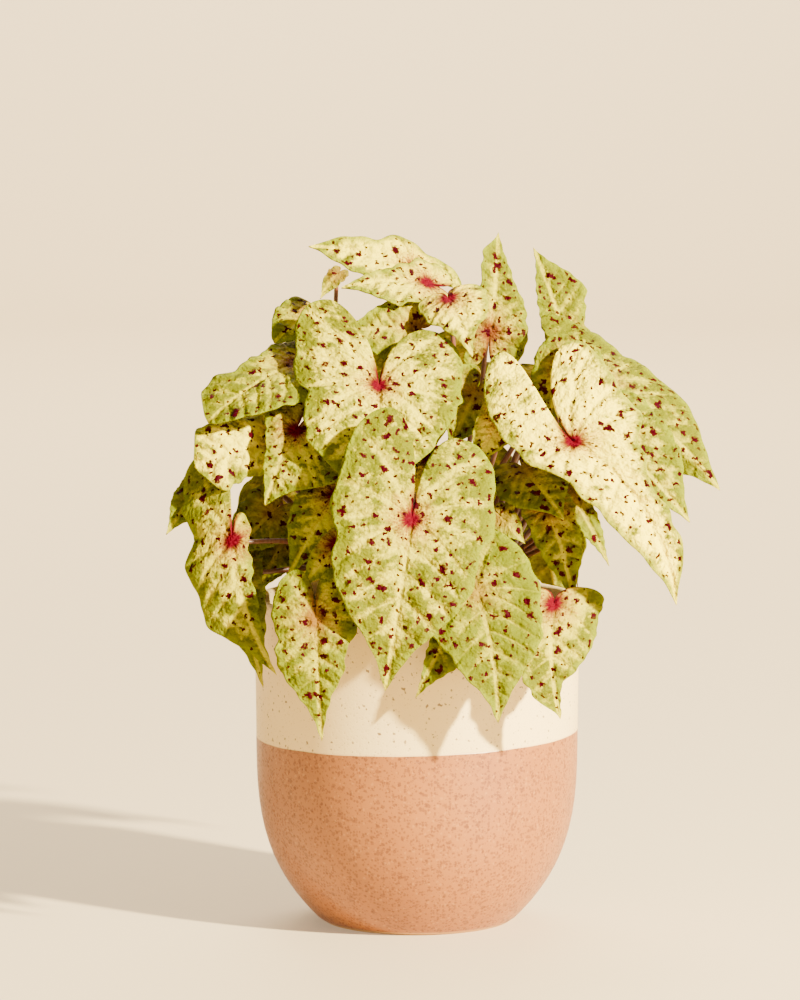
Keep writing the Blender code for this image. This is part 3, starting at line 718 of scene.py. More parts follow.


# Every leaf, in millimetres; its tone is the share of cream, then of lime over olive.
# These shares are partly the leaf's own colour and partly painted light and shade: sunlit
# leaves carry more cream, and leaves in shade deep in the plant carry more olive.
LEAVES = [
    # The large leaves that hang at the front
    leaf("front", (-3, -92, 203), (-15, -108, 126), (0.05, -1, 0.3), (0.38, 0.6), left_width=0.46,
         left_lobe=0.66, right_lobe=0.62, left_back=5, right_back=35, splay=0.05,
         left_edge=(1, 1, 0.97, 1.03, 0.98, 1.04, 1, 0.94, 1),
         right_edge=(1, 1.02, 0.98, 1.04, 0.96, 1.02, 0.94, 0.9, 1)),
    leaf("front", (-18, -38, 260), (-29, -78, 206), (-0.05, -1, 0.7), (0.6, 0.5), bend=20,
         left_width=0.58, right_width=0.57, left_lobe=0.66, right_lobe=0.53, left_back=-10, right_back=0,
         sweep=3, splay=0.2, left_edge=(1, 1.02, 0.98, 1.03, 0.93, 1.02, 1.15, 1.1, 1),
         right_edge=(1, 1.02, 1, 1.05, 0.93, 1, 1, 1), rise=80),
    leaf("right", (72, -72, 237), (119, -95, 164), (0.1, -1, 0.35), (1, 0.6), bend=35, left_width=0.33,
         right_width=0.37, left_lobe=0.7, right_lobe=0.54, sweep=9, yaw=31, splay=0.08, narrowing=0.5,
         narrow_from=0, left_edge=(1, 1, 0.92, 0.78, 0.72, 0.85, 1.15, 1.3, 1),
         right_edge=(1, 1, 1, 1.02, 0.62, 0.45, 0.75, 1.4, 1), arrive=(0.4, -0.8, -0.3), rise=110),
    leaf("right", (86, -20, 259), (142, -40, 211), (0.35, -0.7, 0.7), (0.25, 0.3), bend=35,
         left_width=0.42, right_width=0.4, left_lobe=0.4, right_lobe=0.64, left_fold=-50, right_fold=5,
         right_back=0, yaw=12, arrive=(0, -0.9, 0.35), reach=0.3, seat=2.3),
    leaf("right", (89, -45, 237), (127, -58, 198), (0.25, -1, 0.5), (0.35, 1), left_width=0.3,
         right_width=0.48, lobe=0.4),
    leaf("right", (70, -34, 267), (60, -36, 242), (0, -1, 0.3), (0.2, 0.5), width=0.6, lobe=0.6, rise=80),
    # The upright leaf and the tilted ones on top
    leaf("back_right", (35, 16, 281), (39, 28, 328), (0.2, -1, 0.1), (0.25, 0.4), left_width=0.38,
         right_width=0.32, lobe=0.35, narrowing=0.6, narrow_from=0.15,
         left_edge=(1, 1, 1, 1, 0.95, 0.9, 1, 1, 1), right_edge=(1, 0.7, 0.6, 0.6, 0.6, 0.8, 1.5, 3, 1)),
    leaf("front", (15, -6, 298.5), (26, -30, 273), (-0.1, -0.8, 0.6), (0.75, 0.5), left_width=0.42,
         right_width=0.5, lobe=0.22, fold=5, left_edge=(1, 1, 1, 0.95, 0.7, 0.6, 0.7, 1),
         right_edge=(1, 1, 1, 1, 0.95, 0.7, 0.7, 1), rise=80, seat=1.7),
    leaf("back_left", (-2, 36, 309), (-52, 30, 321), (-0.05, -0.8, 0.7), (0.75, 0.4), bend=35,
         left_width=0.29, right_width=0.4, left_lobe=0.55, right_lobe=0.42, wave=2, waves=3,
         left_edge=(1, 0.95, 0.95, 1, 1.2, 0.8, 0.95, 1.45, 1),
         right_edge=(1, 1, 0.95, 0.9, 0.85, 0.85, 1, 1.3, 1), rise=80),
    leaf("back_left", (5, 14, 304), (-36, 2, 303), (-0.05, -0.7, 0.8), (0.6, 0.5), left_width=0.42,
         right_width=0.5, left_lobe=0.36, right_lobe=0.26,
         left_edge=(1, 1, 0.95, 0.75, 0.58, 0.62, 0.8, 1),
         right_edge=(1, 0.8, 0.72, 0.78, 1, 1.05, 1.1, 1), rise=80),
    leaf("back_left", (-38, 9, 309), (-46, 1, 298), (-0.3, -1, 0.2), (0.1, 0.5), width=0.3, lobe=0.35,
         rise=90),
    leaf("back_left", (0, -1, 284), (-36, -6, 283), (0, -0.9, 0.4), (0.2, 0.3), left_width=0.42,
         right_width=0.6, lobe=0.25, rise=80),
    # The left shoulder
    leaf("left", (-58, -14, 268), (-98, -42, 243), (-0.35, -0.7, 0.6), (0.25, 0.4), left_width=0.38,
         right_width=0.5, lobe=0.45, blunt=0.6, left_edge=(1, 1, 0.9, 0.85, 0.8, 0.8, 1.25, 1.6, 1),
         rise=90),
    leaf("back_left", (-50, 13, 290), (-68, 0, 277), (-0.2, -0.7, 0.6), (0.2, 0.4), left_width=0.62,
         right_width=0.6, lobe=0.2, blunt=0.4, rise=90),
    leaf("left", (-66, -26, 231), (-104, -44, 222), (-0.15, -0.9, 0.4), (0.75, 0.4), bend=60, width=0.36,
         lobe=0.3, blunt=0.9, left_edge=(1, 1, 1, 1.05, 1.1, 1.2, 1.45, 1.9, 1),
         right_edge=(1, 1, 1, 0.9, 0.95, 1, 1.25, 1.8, 1), rise=80),
    leaf("left", (-86, -62, 190), (-65, -85, 130), (-0.45, -1, 0.1), (0.45, 0.35), bend=25,
         left_width=0.38, right_width=0.12, left_lobe=0.85, right_lobe=0.2, right_fold=-20, sweep=-3,
         left_edge=(1, 1.35, 1.1, 0.85, 1.05, 0.95, 1.1, 0.95, 1), wave=2, arrive=(-0.9, -0.3, 0),
         seat=0.9),
    leaf("left", (-101, -26, 211), (-118, -40, 190), (-0.3, -1, 0.2), (0.1, 0.3), width=0.34, lobe=0.25),
    leaf("left", (-68, -35, 200), (-88, -44, 180), (-0.2, -1, 0.2), (0.1, 0.25), width=0.5, lobe=0.4,
         arrive=(-0.7, -0.7, 0)),
    leaf("left", (-62, -20, 186), (-76, -30, 160), (-0.2, -1, 0.2), (0.05, 0.2), width=0.36, lobe=0.2),
    leaf("left", (-84, -42, 176), (-72, -58, 120), (-0.2, -1, 0.1), (0.1, 0.3), width=0.2,
         arrive=(-0.8, 0.3, 0.3)),
    leaf("left", (-57, -42, 239), (-71, -60, 206), (-0.2, -1, 0.5), (0.35, 0.9), left_width=0.44,
         right_width=0.95, left_lobe=0.55, right_lobe=0.4, wave=1.8,
         left_edge=(1, 1, 0.95, 0.8, 0.6, 0.6, 0.7, 1), right_edge=(1, 0.8, 0.7, 0.85, 1.05, 1.1, 1, 1),
         rise=70),
    leaf("left", (-38, -56, 210), (-60, -72, 174), (-0.2, -1, 0.3), (0.35, 0.7), width=0.38),
    # Over the rim at the front
    leaf("front", (-47, -98, 158), (-44, -103, 102), (-0.1, -1, 0.2), (0.2, 0.8), width=0.35, lobe=0.42,
         narrowing=0.6, narrow_from=0.3, left_edge=(1, 1, 1.02, 0.97, 1.06, 1.12, 1.1, 1, 1),
         right_edge=(1, 1, 0.98, 1.04, 0.76, 0.86, 0.78, 0.85, 1), arrive=(-0.3, -0.8, -0.6), reach=0.5,
         rise=80),
    leaf("front", (-37, -80, 190), (-54, -86, 170), (-0.2, -1, 0.3), (0.35, 0.7), width=0.3, lobe=0.3,
         arrive=(-0.2, -0.8, 0.3)),
    leaf("front", (27, -86, 169), (37, -100, 110), (0.1, -1, 0.25), (0.1, 1), left_width=0.45,
         right_width=0.48, left_lobe=0.4, right_lobe=0.5, sweep=2, wave=1.6,
         left_edge=(1, 1, 1, 0.97, 1.03, 0.9, 0.97, 0.9, 1),
         right_edge=(1, 1, 0.97, 1.03, 0.97, 1.02, 0.9, 0.95, 1), arrive=(0, -0.9, -0.2), rise=60),
    leaf("right", (63, -76, 162), (66, -88, 110), (0.3, -1, 0.2), (0.35, 0.6), left_width=0.36,
         right_width=0.46, lobe=0.14, sweep=-4, left_edge=(1, 1, 1, 1, 1.1, 1.3, 1.8, 2.8, 1),
         right_edge=(1, 1, 1, 1, 0.95, 0.8, 0.4, 0.5, 1), arrive=(0.5, -0.6, -0.5), reach=0.5, rise=70),
    leaf("front", (20, -84, 160), (-1, -90, 120), (-0.1, -1, 0.2), (0.05, 0.8), left_width=0.16,
         right_width=0.35, lobe=0.15, arrive=(0.1, -0.6, -0.6), reach=0.5, rise=70),
    # The small ones between the large blades
    leaf("right", (61, -56, 204), (73, -64, 160), (0.3, -1, 0.2), (0.2, 0.4), width=0.28, lobe=0.2),
    leaf("right", (73, -41, 208), (90, -47, 176), (0.3, -1, 0.2), (0.05, 0.3), width=0.18, lobe=0.2),
    leaf("right", (67, -52, 198), (75, -57, 167), (0.3, -1, 0.2), (0.1, 0.4), width=0.14, lobe=0.2),
    leaf("right", (50, -48, 222), (68, -66, 200), (0.1, -1, 0.4), (0.1, 0.5), width=0.6, lobe=0.3),
    leaf("front", (27, -32, 256), (15, -44, 230), (0, -1, 0.4), (0.15, 0.5), width=0.45, lobe=0.5,
         rise=70),
    leaf("front", (5, -62, 229), (-2, -66, 212), (0, -1, 0.4), (0.8, 0.5), width=0.35, lobe=0.4),
    leaf("right", (39, -63, 201), (50, -67, 189), (0, -1, 0.4), (0.05, 0.4), width=0.4, lobe=0.4),
    leaf("front", (39, -50, 246), (26, -56, 224), (0, -1, 0.4), (0.7, 0.5), width=0.4, lobe=0.6),
    leaf("back_right", (72, 25, 274), (56, 37, 320), (0.2, -1, 0.2), (0.2, 0.4), left_width=0.4,
         right_width=0.2, lobe=0.2, narrow_from=0.6, left_edge=(1, 0.7, 0.6, 0.8, 1.15, 1.08, 1.1, 1),
         rise=70),
    # The back of the plant
    leaf("right", (88, 30, 226), (108, 40, 184), (1, 0.25, 0.6), (0.3, 0.5), lobe=0.3),
    leaf("back_right", (58, 64, 252), (84, 92, 210), (0.6, 0.7, 0.6), (0.4, 0.5), lobe=0.4, rise=90),
    leaf("back_right", (6, 76, 260), (8, 112, 212), (0, 1, 0.5), (0.6, 0.5), rise=80),
    leaf("back_left", (-56, 58, 252), (-82, 84, 210), (-0.6, 0.7, 0.6), (0.5, 0.5), lobe=0.4, rise=90),
    leaf("back_left", (-82, 22, 240), (-102, 28, 196), (-1, 0.2, 0.5), (0.4, 0.6)),
    leaf("back_right", (56, 66, 198), (70, 82, 136), (0.5, 1, 0.3), (0.2, 0.7), width=0.42),
    leaf("back_right", (10, 94, 186), (12, 112, 122), (0, 1, 0.3), (0.5, 0.6), width=0.42),
    leaf("back_left", (-44, 76, 196), (-54, 92, 132), (-0.3, 1, 0.3), (0.3, 0.7), width=0.42),
    leaf("back_left", (-68, 48, 198), (-80, 60, 142), (-0.8, 1, 0.3), (0.35, 0.5), width=0.4, lobe=0.4),
    leaf("back_left", (-33, 44, 282), (-46, 68, 262), (-0.2, 0.7, 0.9), (0.5, 0.4), width=0.6, lobe=0.4,
         rise=90),
]

# %% [markdown]
# ## Arcs and steps
# Two small sums carry the whole bend: how far a curve gets that turns evenly, and a smooth
# step from one value to the next. They work on whole arrays, so a blade is placed at once.

# %% Sums for the blade
def arc(start, turn_per_length, length):
    """Along and across reach of a curve that sets out at an angle and turns evenly."""
    if abs(turn_per_length) < 1e-9:
        return length * math.cos(start), length * math.sin(start)
    end = start + turn_per_length * length
    along = (np.sin(end) - math.sin(start)) / turn_per_length
    across = (math.cos(start) - np.cos(end)) / turn_per_length
    return along, across


def smooth_step(low, high, value):
    share = np.clip((value - low) / (high - low), 0, 1)
    return share * share * (3 - 2 * share)


def quarter(share, power):
    """A round quarter that falls from 1 to 0, fuller for a higher power."""
    return np.sqrt(np.clip(1 - share**power, 0, 1))


def edge_share(stations, progress):
    """The margin's share of the plain outline, eased from one station to the next."""
    place = np.clip(progress, 0, 1) * (len(stations) - 1)
    index = np.minimum(place.astype(int), len(stations) - 2)
    ease = smooth_step(0, 1, place - index)
    values = np.array(stations, float)
    return values[index] * (1 - ease) + values[index + 1] * ease


class Blade:
    """The frame of one blade: its heart, the way it runs, faces and widens, and its length."""

    def __init__(self, shape):
        self.shape = shape
        self.heart = np.array(shape["heart"], float) * MM
        chord = np.array(shape["tip"], float) * MM - self.heart
        size = np.linalg.norm(chord)
        self.along = chord / size
        face = np.array(shape["face"], float)
        face = face - self.along * face.dot(self.along)
        self.face = face / np.linalg.norm(face)
        self.side = np.cross(self.face, self.along)
        self.bend = math.radians(shape["bend"])
        self.length = size * (self.bend / 2) / math.sin(self.bend / 2)

    def half(self, side, name):
        return self.shape[("right_" if side > 0 else "left_") + name]

    def normal_at_heart(self):
        turn = self.bend / 2
        return -math.sin(turn) * self.along + math.cos(turn) * self.face


# %% [markdown]
# ## Veins
# From the heart, where the stalk joins, veins fan out into the lobes, and further down they
# leave the midrib in pairs and sweep towards the tip. One number for each point counts the
# veins: it is whole on a vein and halfway between two of them at a half. Because that number
# changes smoothly, the material can draw thin veins from it on a mesh that is coarser.

# %% Vein count over a blade
VEIN_STEP = 0.155
VEIN_LEAN = 0.50
VEIN_CURVE = 0.85
VEIN_SPREAD = 1.2
FAN_STEP = math.radians(31)


def vein_count(out, run, length):
    """The vein number at out and run metres from the heart, and the metres between two veins."""
    a, b = out / length, run / length
    line = VEIN_LEAN * a + VEIN_CURVE * a * a
    front = (b - line) / VEIN_STEP
    slope = math.sqrt(1 + VEIN_LEAN**2) + VEIN_SPREAD * a
    front_gap = VEIN_STEP * length / slope
    heading = np.arctan2(a, b)
    first = np.arctan2(a, line + 1e-6)
    fan = -(heading - first) / FAN_STEP
    fan_gap = (np.hypot(a, b) + 1e-6) * length * FAN_STEP
    ahead = b > line
    return np.where(ahead, front, fan), np.where(ahead, front_gap, fan_gap)


# %% [markdown]
# ## One half of a blade
# The grid's columns run from the midrib, or from the slit's edge, to the margin, and its rows
# from the lobe's end to the tip. Rows lie closer together where the lobe rounds off. Between
# the veins the skin puffs up a little, as on the real leaf, and the margin gets its waves.

# %% The margins of a half
RIPPLE = 0.45 * MM
FULL_RELIEF = 60 * MM
LOBE_GAP = 0.02
BELLY = 0.9
NARROW_TO = 0.95
# Powers of the quarters that round the lobe, the slit and a blunt tip
LOBE_ROUND, SLIT_ROUND, BLUNT_ROUND = 2.5, 3, 2.5
WAIST_DEPTH, WAIST_AT, WAIST_SPAN = 0.06, 0.14, 0.07


def margins(blade, side, share, lobe_share, ripple):
    """Distance of the inner and the outer margin from the midline."""
    shape = blade.shape
    width = blade.half(side, "width") * blade.length
    line = shape["lobe_line"] * width
    ahead = np.clip(share, 0, 1)
    lobe_outer = line + (width - line) * quarter(lobe_share, LOBE_ROUND)
    lobe_inner = line * (1 - quarter(lobe_share, SLIT_ROUND)) + LOBE_GAP * width * lobe_share
    pointed = (1 - ahead) * (1 + BELLY * ahead)
    pointed *= 1 - shape["narrowing"] * smooth_step(shape["narrow_from"], NARROW_TO, ahead)
    outline = (1 - shape["blunt"]) * pointed + shape["blunt"] * quarter(ahead, BLUNT_ROUND)
    outline *= 1 - WAIST_DEPTH * np.exp(-(((ahead - WAIST_AT) / WAIST_SPAN) ** 2))
    whole = blade.half(side, "lobe")
    edge = edge_share(blade.half(side, "edge"), (share + whole) / (1 + whole))
    outer = edge * np.where(share < 0, lobe_outer, width * outline) + ripple
    inner = np.where(share < 0, np.minimum(np.minimum(lobe_inner, line), outer), 0.0)
    return inner, outer


# %% The points of a half
PUFF = 0.65 * MM
FINE_WAVE = 0.35 * MM
RIGHT_PHASE = 1.7
RIPPLE_RATE = 2.3
FINE_RATE = 2.7
SPLAY_POWER = 1.5
YAW_POWER = 1.3
FULL_GAP = 9 * MM
MARGIN_ROOM = 5 * MM
MIDRIB_ROOM = 4 * MM


def blade_points(blade, side, across, row, lobe_rows, rows, phase):
    """Places of the grid's points, and what the material needs to know about each of them."""
    shape = blade.shape
    length = blade.length
    width = blade.half(side, "width") * length
    whole = blade.half(side, "lobe")
    lobe = whole * length
    back = math.radians(blade.half(side, "back"))
    slack = min(1.0, length / FULL_RELIEF)
    lobe_share = np.where(row < lobe_rows, np.cos(math.pi / 2 * row / lobe_rows), 0.0)
    share = np.where(row < lobe_rows, -whole * lobe_share, (row - lobe_rows) / (rows - lobe_rows))
    ahead = np.clip(share, 0, 1)
    progress = (share + whole) / (1 + whole)
    turn = math.tau * shape["waves"] * progress + (RIGHT_PHASE if side > 0 else 0)
    fade = np.sqrt(np.clip(np.sin(math.pi * np.clip(progress, 0, 1)), 0, 1))
    ripple = RIPPLE * np.sin(RIPPLE_RATE * turn + 2 * phase) * fade * slack
    inner, outer = margins(blade, side, share, lobe_share, ripple)
    reach = inner + (outer - inner) * across

    out, up = arc(math.radians(blade.half(side, "fold")), math.radians(shape["curl"]) / width, reach)
    tip_run, tip_lift = arc(blade.bend / 2, -blade.bend / length, ahead * length)
    lobe_run, lobe_lift = arc(blade.bend / 2, back / lobe, lobe_share * lobe)
    run = np.where(share < 0, -lobe_run, tip_run)
    lift = np.where(share < 0, -lobe_lift, tip_lift)
    heading = np.where(share < 0, blade.bend / 2 + back * lobe_share, blade.bend * (0.5 - ahead))
    bow = 4 * shape["sweep"] * MM * np.where(share < 0, share, ahead * (1 - ahead))
    bow = bow + side * shape["splay"] * width * lobe_share**SPLAY_POWER
    bow = bow + math.tan(math.radians(shape["yaw"])) * lobe * lobe_share**YAW_POWER

    wave = shape["wave"] * MM * (reach / width) ** 2 * np.sin(turn) * fade
    fine = FINE_WAVE * (reach / width) ** 3 * np.sin(FINE_RATE * turn + phase + side) * fade
    count, gap = vein_count(reach, share * length, length)
    between = np.abs(count - np.round(count))
    room = np.clip((outer - reach) / MARGIN_ROOM, 0, 1) * np.clip(reach / MIDRIB_ROOM, 0, 1)
    puff = PUFF * smooth_step(0.05, 0.5, between) * np.clip(gap / FULL_GAP, 0, 1) * room

    normal = -np.sin(heading)[:, None] * blade.along + np.cos(heading)[:, None] * blade.face
    middle = blade.heart + run[:, None] * blade.along + lift[:, None] * blade.face
    middle = middle + bow[:, None] * blade.side
    points = middle + side * out[:, None] * blade.side
    points = points + (up + wave + (fine + puff) * slack)[:, None] * normal
    facts = {
        "blade_mm": np.stack([side * reach, share * length, 0 * reach], axis=1) / MM,
        "vein": np.stack([count, gap / MM, np.where(share < 0, reach - inner, 1.0) / MM], axis=1),
        "margin_mm": (outer - reach) / MM,
    }
    return points, facts


# %% Half a blade from a grid
def half_blade(name, blade, side, columns, lobe_rows, tip_rows, phase):
    """Half a blade: a flat grid from the Add menu, its points moved to their places."""
    rows = lobe_rows + tip_rows
    deselect_all()
    bpy.ops.mesh.primitive_grid_add(x_subdivisions=columns, y_subdivisions=rows, size=1)
    half = bpy.context.object
    half.name = name
    mesh = half.data
    flat = np.empty(len(mesh.vertices) * 3)
    mesh.vertices.foreach_get("co", flat)
    flat = flat.reshape(-1, 3)
    across, row = flat[:, 0] + 0.5, np.round((flat[:, 1] + 0.5) * rows)
    points, facts = blade_points(blade, side, across, row, lobe_rows, rows, phase)
    mesh.vertices.foreach_set("co", points.reshape(-1))
    for fact, values in facts.items():
        kind = "FLOAT" if values.ndim == 1 else "FLOAT_VECTOR"
        attribute = mesh.attributes.new(fact, kind, "POINT")
        attribute.data.foreach_set("value" if kind == "FLOAT" else "vector", values.reshape(-1))
    if side > 0:
        mesh.flip_normals()
    return half


# %% [markdown]
# ## Colours of a blade
# The blade is cream along the veins and green between them, with a yellow-green margin. A
# crimson patch sits where the stalk joins, and blood-red specks are strewn all over. Each
# leaf has its own balance of cream and green, which it carries as an attribute of its own, so
# that one recipe serves all leaves. That balance is partly the leaf's own colour and partly
# painted light and shade: sunlit leaves carry more cream, and shaded leaves more olive. The
# underside is duller and shows the specks faintly.

# %% Leaf colours
# LIME and OLIVE are the two ends of a leaf's green; each leaf's share between them is partly painted
# shade.
CREAM = (0.90, 0.73, 0.02)
BUTTER = (0.22, 0.212, 0.0)
LIME = (0.098, 0.112, 0.0)
OLIVE = (0.092, 0.094, 0.0)
EDGE_LIME = (0.175, 0.195, 0.0)
UNDER_OLIVE = (0.15, 0.145, 0.005)
BLUSH = (0.32, 0.095, 0.028)
CRIMSON = (0.095, 0.0012, 0.006)
BLOOD = (0.034, 0.0006, 0.0025)
LEAF_SHEEN = {
    "Specular IOR Level": 0.02,
    "Subsurface Weight": 0.2,
    "Subsurface Radius": (0.9, 1.0, 0.25),
    "Subsurface Scale": 0.5 * MM,
}
MIDRIB_HALF = 0.35
SEED_SPREAD = 900
UNDER_SPECKS = 0.45
LEAF_RELIEF = 1.1 * MM


# %% Veins and green patches of the leaf
def leaf_greens(mix, skin, net, out, run, reach):
    """The leaf without its reds, and the distance to the nearest vein in millimetres."""
    count, gap, _ = mix.split(mix.attribute("vein")["Vector"])
    # The leaf's cream and lime shares hold painted light and shade as well as its own colour.
    cream, lime, _ = mix.split(mix.attribute("tone_and_light")["Vector"])
    margin = mix.attribute("margin_mm")["Fac"]
    off_vein = mix.calc("ABSOLUTE", mix.minus(count, mix.calc("ROUND", count)))
    near_vein = mix.times(off_vein, gap)
    in_lobes = mix.calc("LESS_THAN", run, 0)
    midrib = mix.plus(mix.calc("ABSOLUTE", out), mix.times(in_lobes, 50))
    beside = mix.minus(midrib, MIDRIB_HALF)
    line = mix.calc("MINIMUM", beside, near_vein)
    side_line = mix.ramp(near_vein, 0.05, 0.7, 0.5, 0)
    side_line = mix.times(side_line, mix.ramp(margin, 1, 16, 0.1, 1))
    vein_line = mix.larger(mix.ramp(beside, 0.1, 1.2, 1, 0), side_line)
    crooked = mix.times(mix.minus(mix.noise(skin, 0.22, 3), 0.5), 3.4)
    soft_vein = mix.calc("MINIMUM", mix.times(midrib, 0.7), near_vein)
    band = mix.ramp(mix.plus(soft_vein, crooked), 0.3, 3.4, 1, 0)

    fleck = mix.minus(mix.noise(net, 0.5, 3, 0.7), 0.5)
    green = mix.plus(mix.noise(skin, 0.12, 4, 0.6), mix.times(fleck, 0.55))
    green = mix.minus(green, mix.times(band, 0.14))
    green = mix.plus(green, mix.ramp(margin, 1.5, 13, 0.12, 0))
    green = mix.plus(green, mix.ramp(reach, 4, 34, -0.16, 0))
    green = mix.minus(green, mix.times(mix.minus(cream, 0.5), 0.34))
    green = mix.ramp(green, 0.30, 0.58)
    pale = mix.blend(cream, BUTTER, CREAM)
    colour = mix.paint(pale, green, 0.95, mix.blend(lime, OLIVE, LIME))
    colour = mix.blend(mix.ramp(margin, 0.4, 5, 0.8, 0), colour, EDGE_LIME)
    colour = mix.paint(colour, vein_line, 0.65, mix.blend(0.35, pale, CREAM))
    return colour, line


# %% Crimson star and specks of the leaf
def leaf_reds(mix, colour, skin, net, out, run, reach, line, speck_weight):
    """The colour with the blush and the crimson star at its heart, and with its specks."""
    slit = mix.split(mix.attribute("vein")["Vector"])[2]
    cream, _, seed = mix.split(mix.attribute("tone_and_light")["Vector"])
    margin = mix.attribute("margin_mm")["Fac"]
    star = mix.ramp(cream, 0.05, 0.35, 0.35, 1)
    angle = mix.times(mix.calc("ARCTAN2", out, run), 7)
    rays = mix.add("CombineXYZ", {"X": angle, "Y": mix.times(reach, 0.07), "Z": seed})[0]
    rays = mix.noise(rays, 1.6)
    glow = mix.ramp(mix.minus(reach, mix.times(rays, 22)), -10, 6, 0.6, 0)
    colour = mix.blend(mix.times(glow, star), colour, BLUSH)
    core = mix.ramp(mix.minus(reach, mix.times(rays, 5)), 0.5, 5, 1, 0)
    freckles = mix.specks(SKIN_SPECKLE, skin, 1.3, 0.62, 0.7, 0.6)
    freckles = mix.times(freckles, mix.ramp(reach, 4, 15, 0.75, 0))
    streak = mix.times(mix.ramp(line, 0.1, 0.9, 1, 0), mix.ramp(reach, 2, 9, 0.7, 0))
    lips = mix.times(mix.ramp(slit, 0.3, 2.6, 1, 0), mix.ramp(reach, 7, 22, 1, 0))
    lips = mix.times(lips, mix.calc("LESS_THAN", run, 0))
    red = mix.larger(mix.larger(core, streak), mix.larger(lips, freckles))
    colour = mix.blend(mix.times(red, star), colour, CRIMSON)

    big = mix.specks(SKIN_SPECKLE, net, 8.2, 1.9, 0.75, 0.7)
    small = mix.specks(SKIN_SPECKLE, net, 5.2, 1, 0.65, 0.5)
    specks = mix.times(mix.larger(big, small), mix.ramp(margin, 0.6, 1.6))
    return mix.paint(colour, specks, speck_weight, BLOOD)


# %% Leaf material
def make_leaf_material(name, underside):
    mix = Finish(name, LEAF_SHEEN)
    flat = mix.attribute("blade_mm")["Vector"]
    out, run, _ = mix.split(flat)
    seed = mix.split(mix.attribute("tone_and_light")["Vector"])[2]
    seeds = mix.add("CombineXYZ", {"X": seed, "Y": seed, "Z": seed})[0]
    skin = mix.vectors("ADD", flat, mix.vectors("SCALE", seeds, SEED_SPREAD))
    inputs = {"Vector": skin, "Scale": 1.15}
    net = mix.add("TexVoronoi", inputs, voronoi_dimensions="2D")["Position"]
    reach = mix.calc("SQRT", mix.plus(mix.times(out, out), mix.times(run, run)))
    colour, line = leaf_greens(mix, skin, net, out, run, reach)
    speck_weight = UNDER_SPECKS if underside else 1
    colour = leaf_reds(mix, colour, skin, net, out, run, reach, line, speck_weight)
    if underside:
        colour = mix.blend(0.35, colour, UNDER_OLIVE)

    inputs = {"Vector": skin, "Scale": 0.42}
    cells = mix.add("TexVoronoi", inputs, feature="DISTANCE_TO_EDGE")["Distance"]
    quilt = mix.ramp(cells, 0, 0.35)
    height = mix.plus(mix.times(quilt, 0.16), mix.times(mix.ramp(line, 0.2, 2), 0.5))
    height = mix.plus(height, mix.times(mix.noise(skin, 0.16, 3), 3.4))
    height = mix.plus(height, mix.times(mix.noise(skin, 0.42), 0.6))
    if underside:
        height = mix.times(height, -1)
    rough = mix.plus(0.50, mix.times(quilt, 0.08))
    return mix.done(colour, height, LEAF_RELIEF, rough)


LEAF_FACE = make_leaf_material("leaf_face", False)
LEAF_BACK = make_leaf_material("leaf_underside", True)
print("leaf material nodes:", len(LEAF_FACE.node_tree.nodes))

# %% [markdown]
# ## Growing every blade
# Two halves are joined and welded along the midrib, then Solidify gives the sheet its
# thickness and puts the underside's finish on the lower skin. Large leaves get more rows, and
# small ones that hide between them get fewer.

# %% Blades
BLADE_THICKNESS = 0.7 * MM
LARGE_BLADE = 66 * MM
SMALL_BLADE = 36 * MM
MIDRIB_WELD = 0.02 * MM
PHASE_STEP = 1.3
SEED_STEP = 0.618


def fine_grid(blade):
    """Columns, lobe rows and tip rows of a half blade."""
    if blade.length > LARGE_BLADE:
        return 30, 32, 64
    if blade.length > SMALL_BLADE:
        return 20, 22, 40
    return 12, 14, 24


def grow_blade(index, shape):
    """One finished blade, which replaces its solid."""
    blade = Blade(shape)
    halves = [
        half_blade(f"half_{side}", blade, side, *fine_grid(blade), PHASE_STEP * index)
        for side in (-1, 1)
    ]
    piece = join_pieces(f"blade_{index:02d}", halves)
    weld(MIDRIB_WELD)
    mesh = piece.data
    # Each point carries the leaf's cream and lime shares, which are partly painted light and shade, and
    # its seed.
    tone_and_light = mesh.attributes.new("tone_and_light", "FLOAT_VECTOR", "POINT")
    seed = index * SEED_STEP % 1
    tone_and_light.data.foreach_set("vector", [*shape["tone_and_light"], seed] * len(mesh.vertices))
    dress(piece, LEAF_FACE, LEAF_BACK)
    solidify = piece.modifiers.new("Solidify", "SOLIDIFY")
    solidify.thickness = BLADE_THICKNESS
    solidify.offset = 0
    solidify.material_offset = 1
    apply_modifiers(piece)
    bpy.ops.object.shade_smooth()
    settle(piece, "leaf_blade", f"leaf_{index:02d}")
    return piece


blades = [grow_blade(number, shape) for number, shape in enumerate(LEAVES, 1)]
print("blades:", len(blades), "faces:", sum(len(piece.data.polygons) for piece in blades))

# %% [markdown]
# ## Stalks
# Each leaf stands on a stalk that climbs out of its tuber and bends over to the blade's
# underside. A curve with a round bevel is the plain tool for it: its points follow one
# smooth arch, and its radius shrinks on the way up. The stalks of a tuber and its crown
# are joined into one piece.

# %% Stalks
STALK_BASE_RADIUS = 1.8 * MM
STALK_TIP_RADIUS = 1.0 * MM
STALK_SPANS = 28
STALK_SEAT = 2.5 * MM
STALK_FOOT = 4 * MM
STALK_LEAN = 0.25
STALK_TUCK = 0.1  # millimetres from the stalk's last point to the blade's middle
ARRIVE_ALONG = 0.6
ARRIVE_UP = Vector((0, 0, 0.7))
STALK_CREASE = math.radians(50)
TUBE_WELD = 0.001 * MM


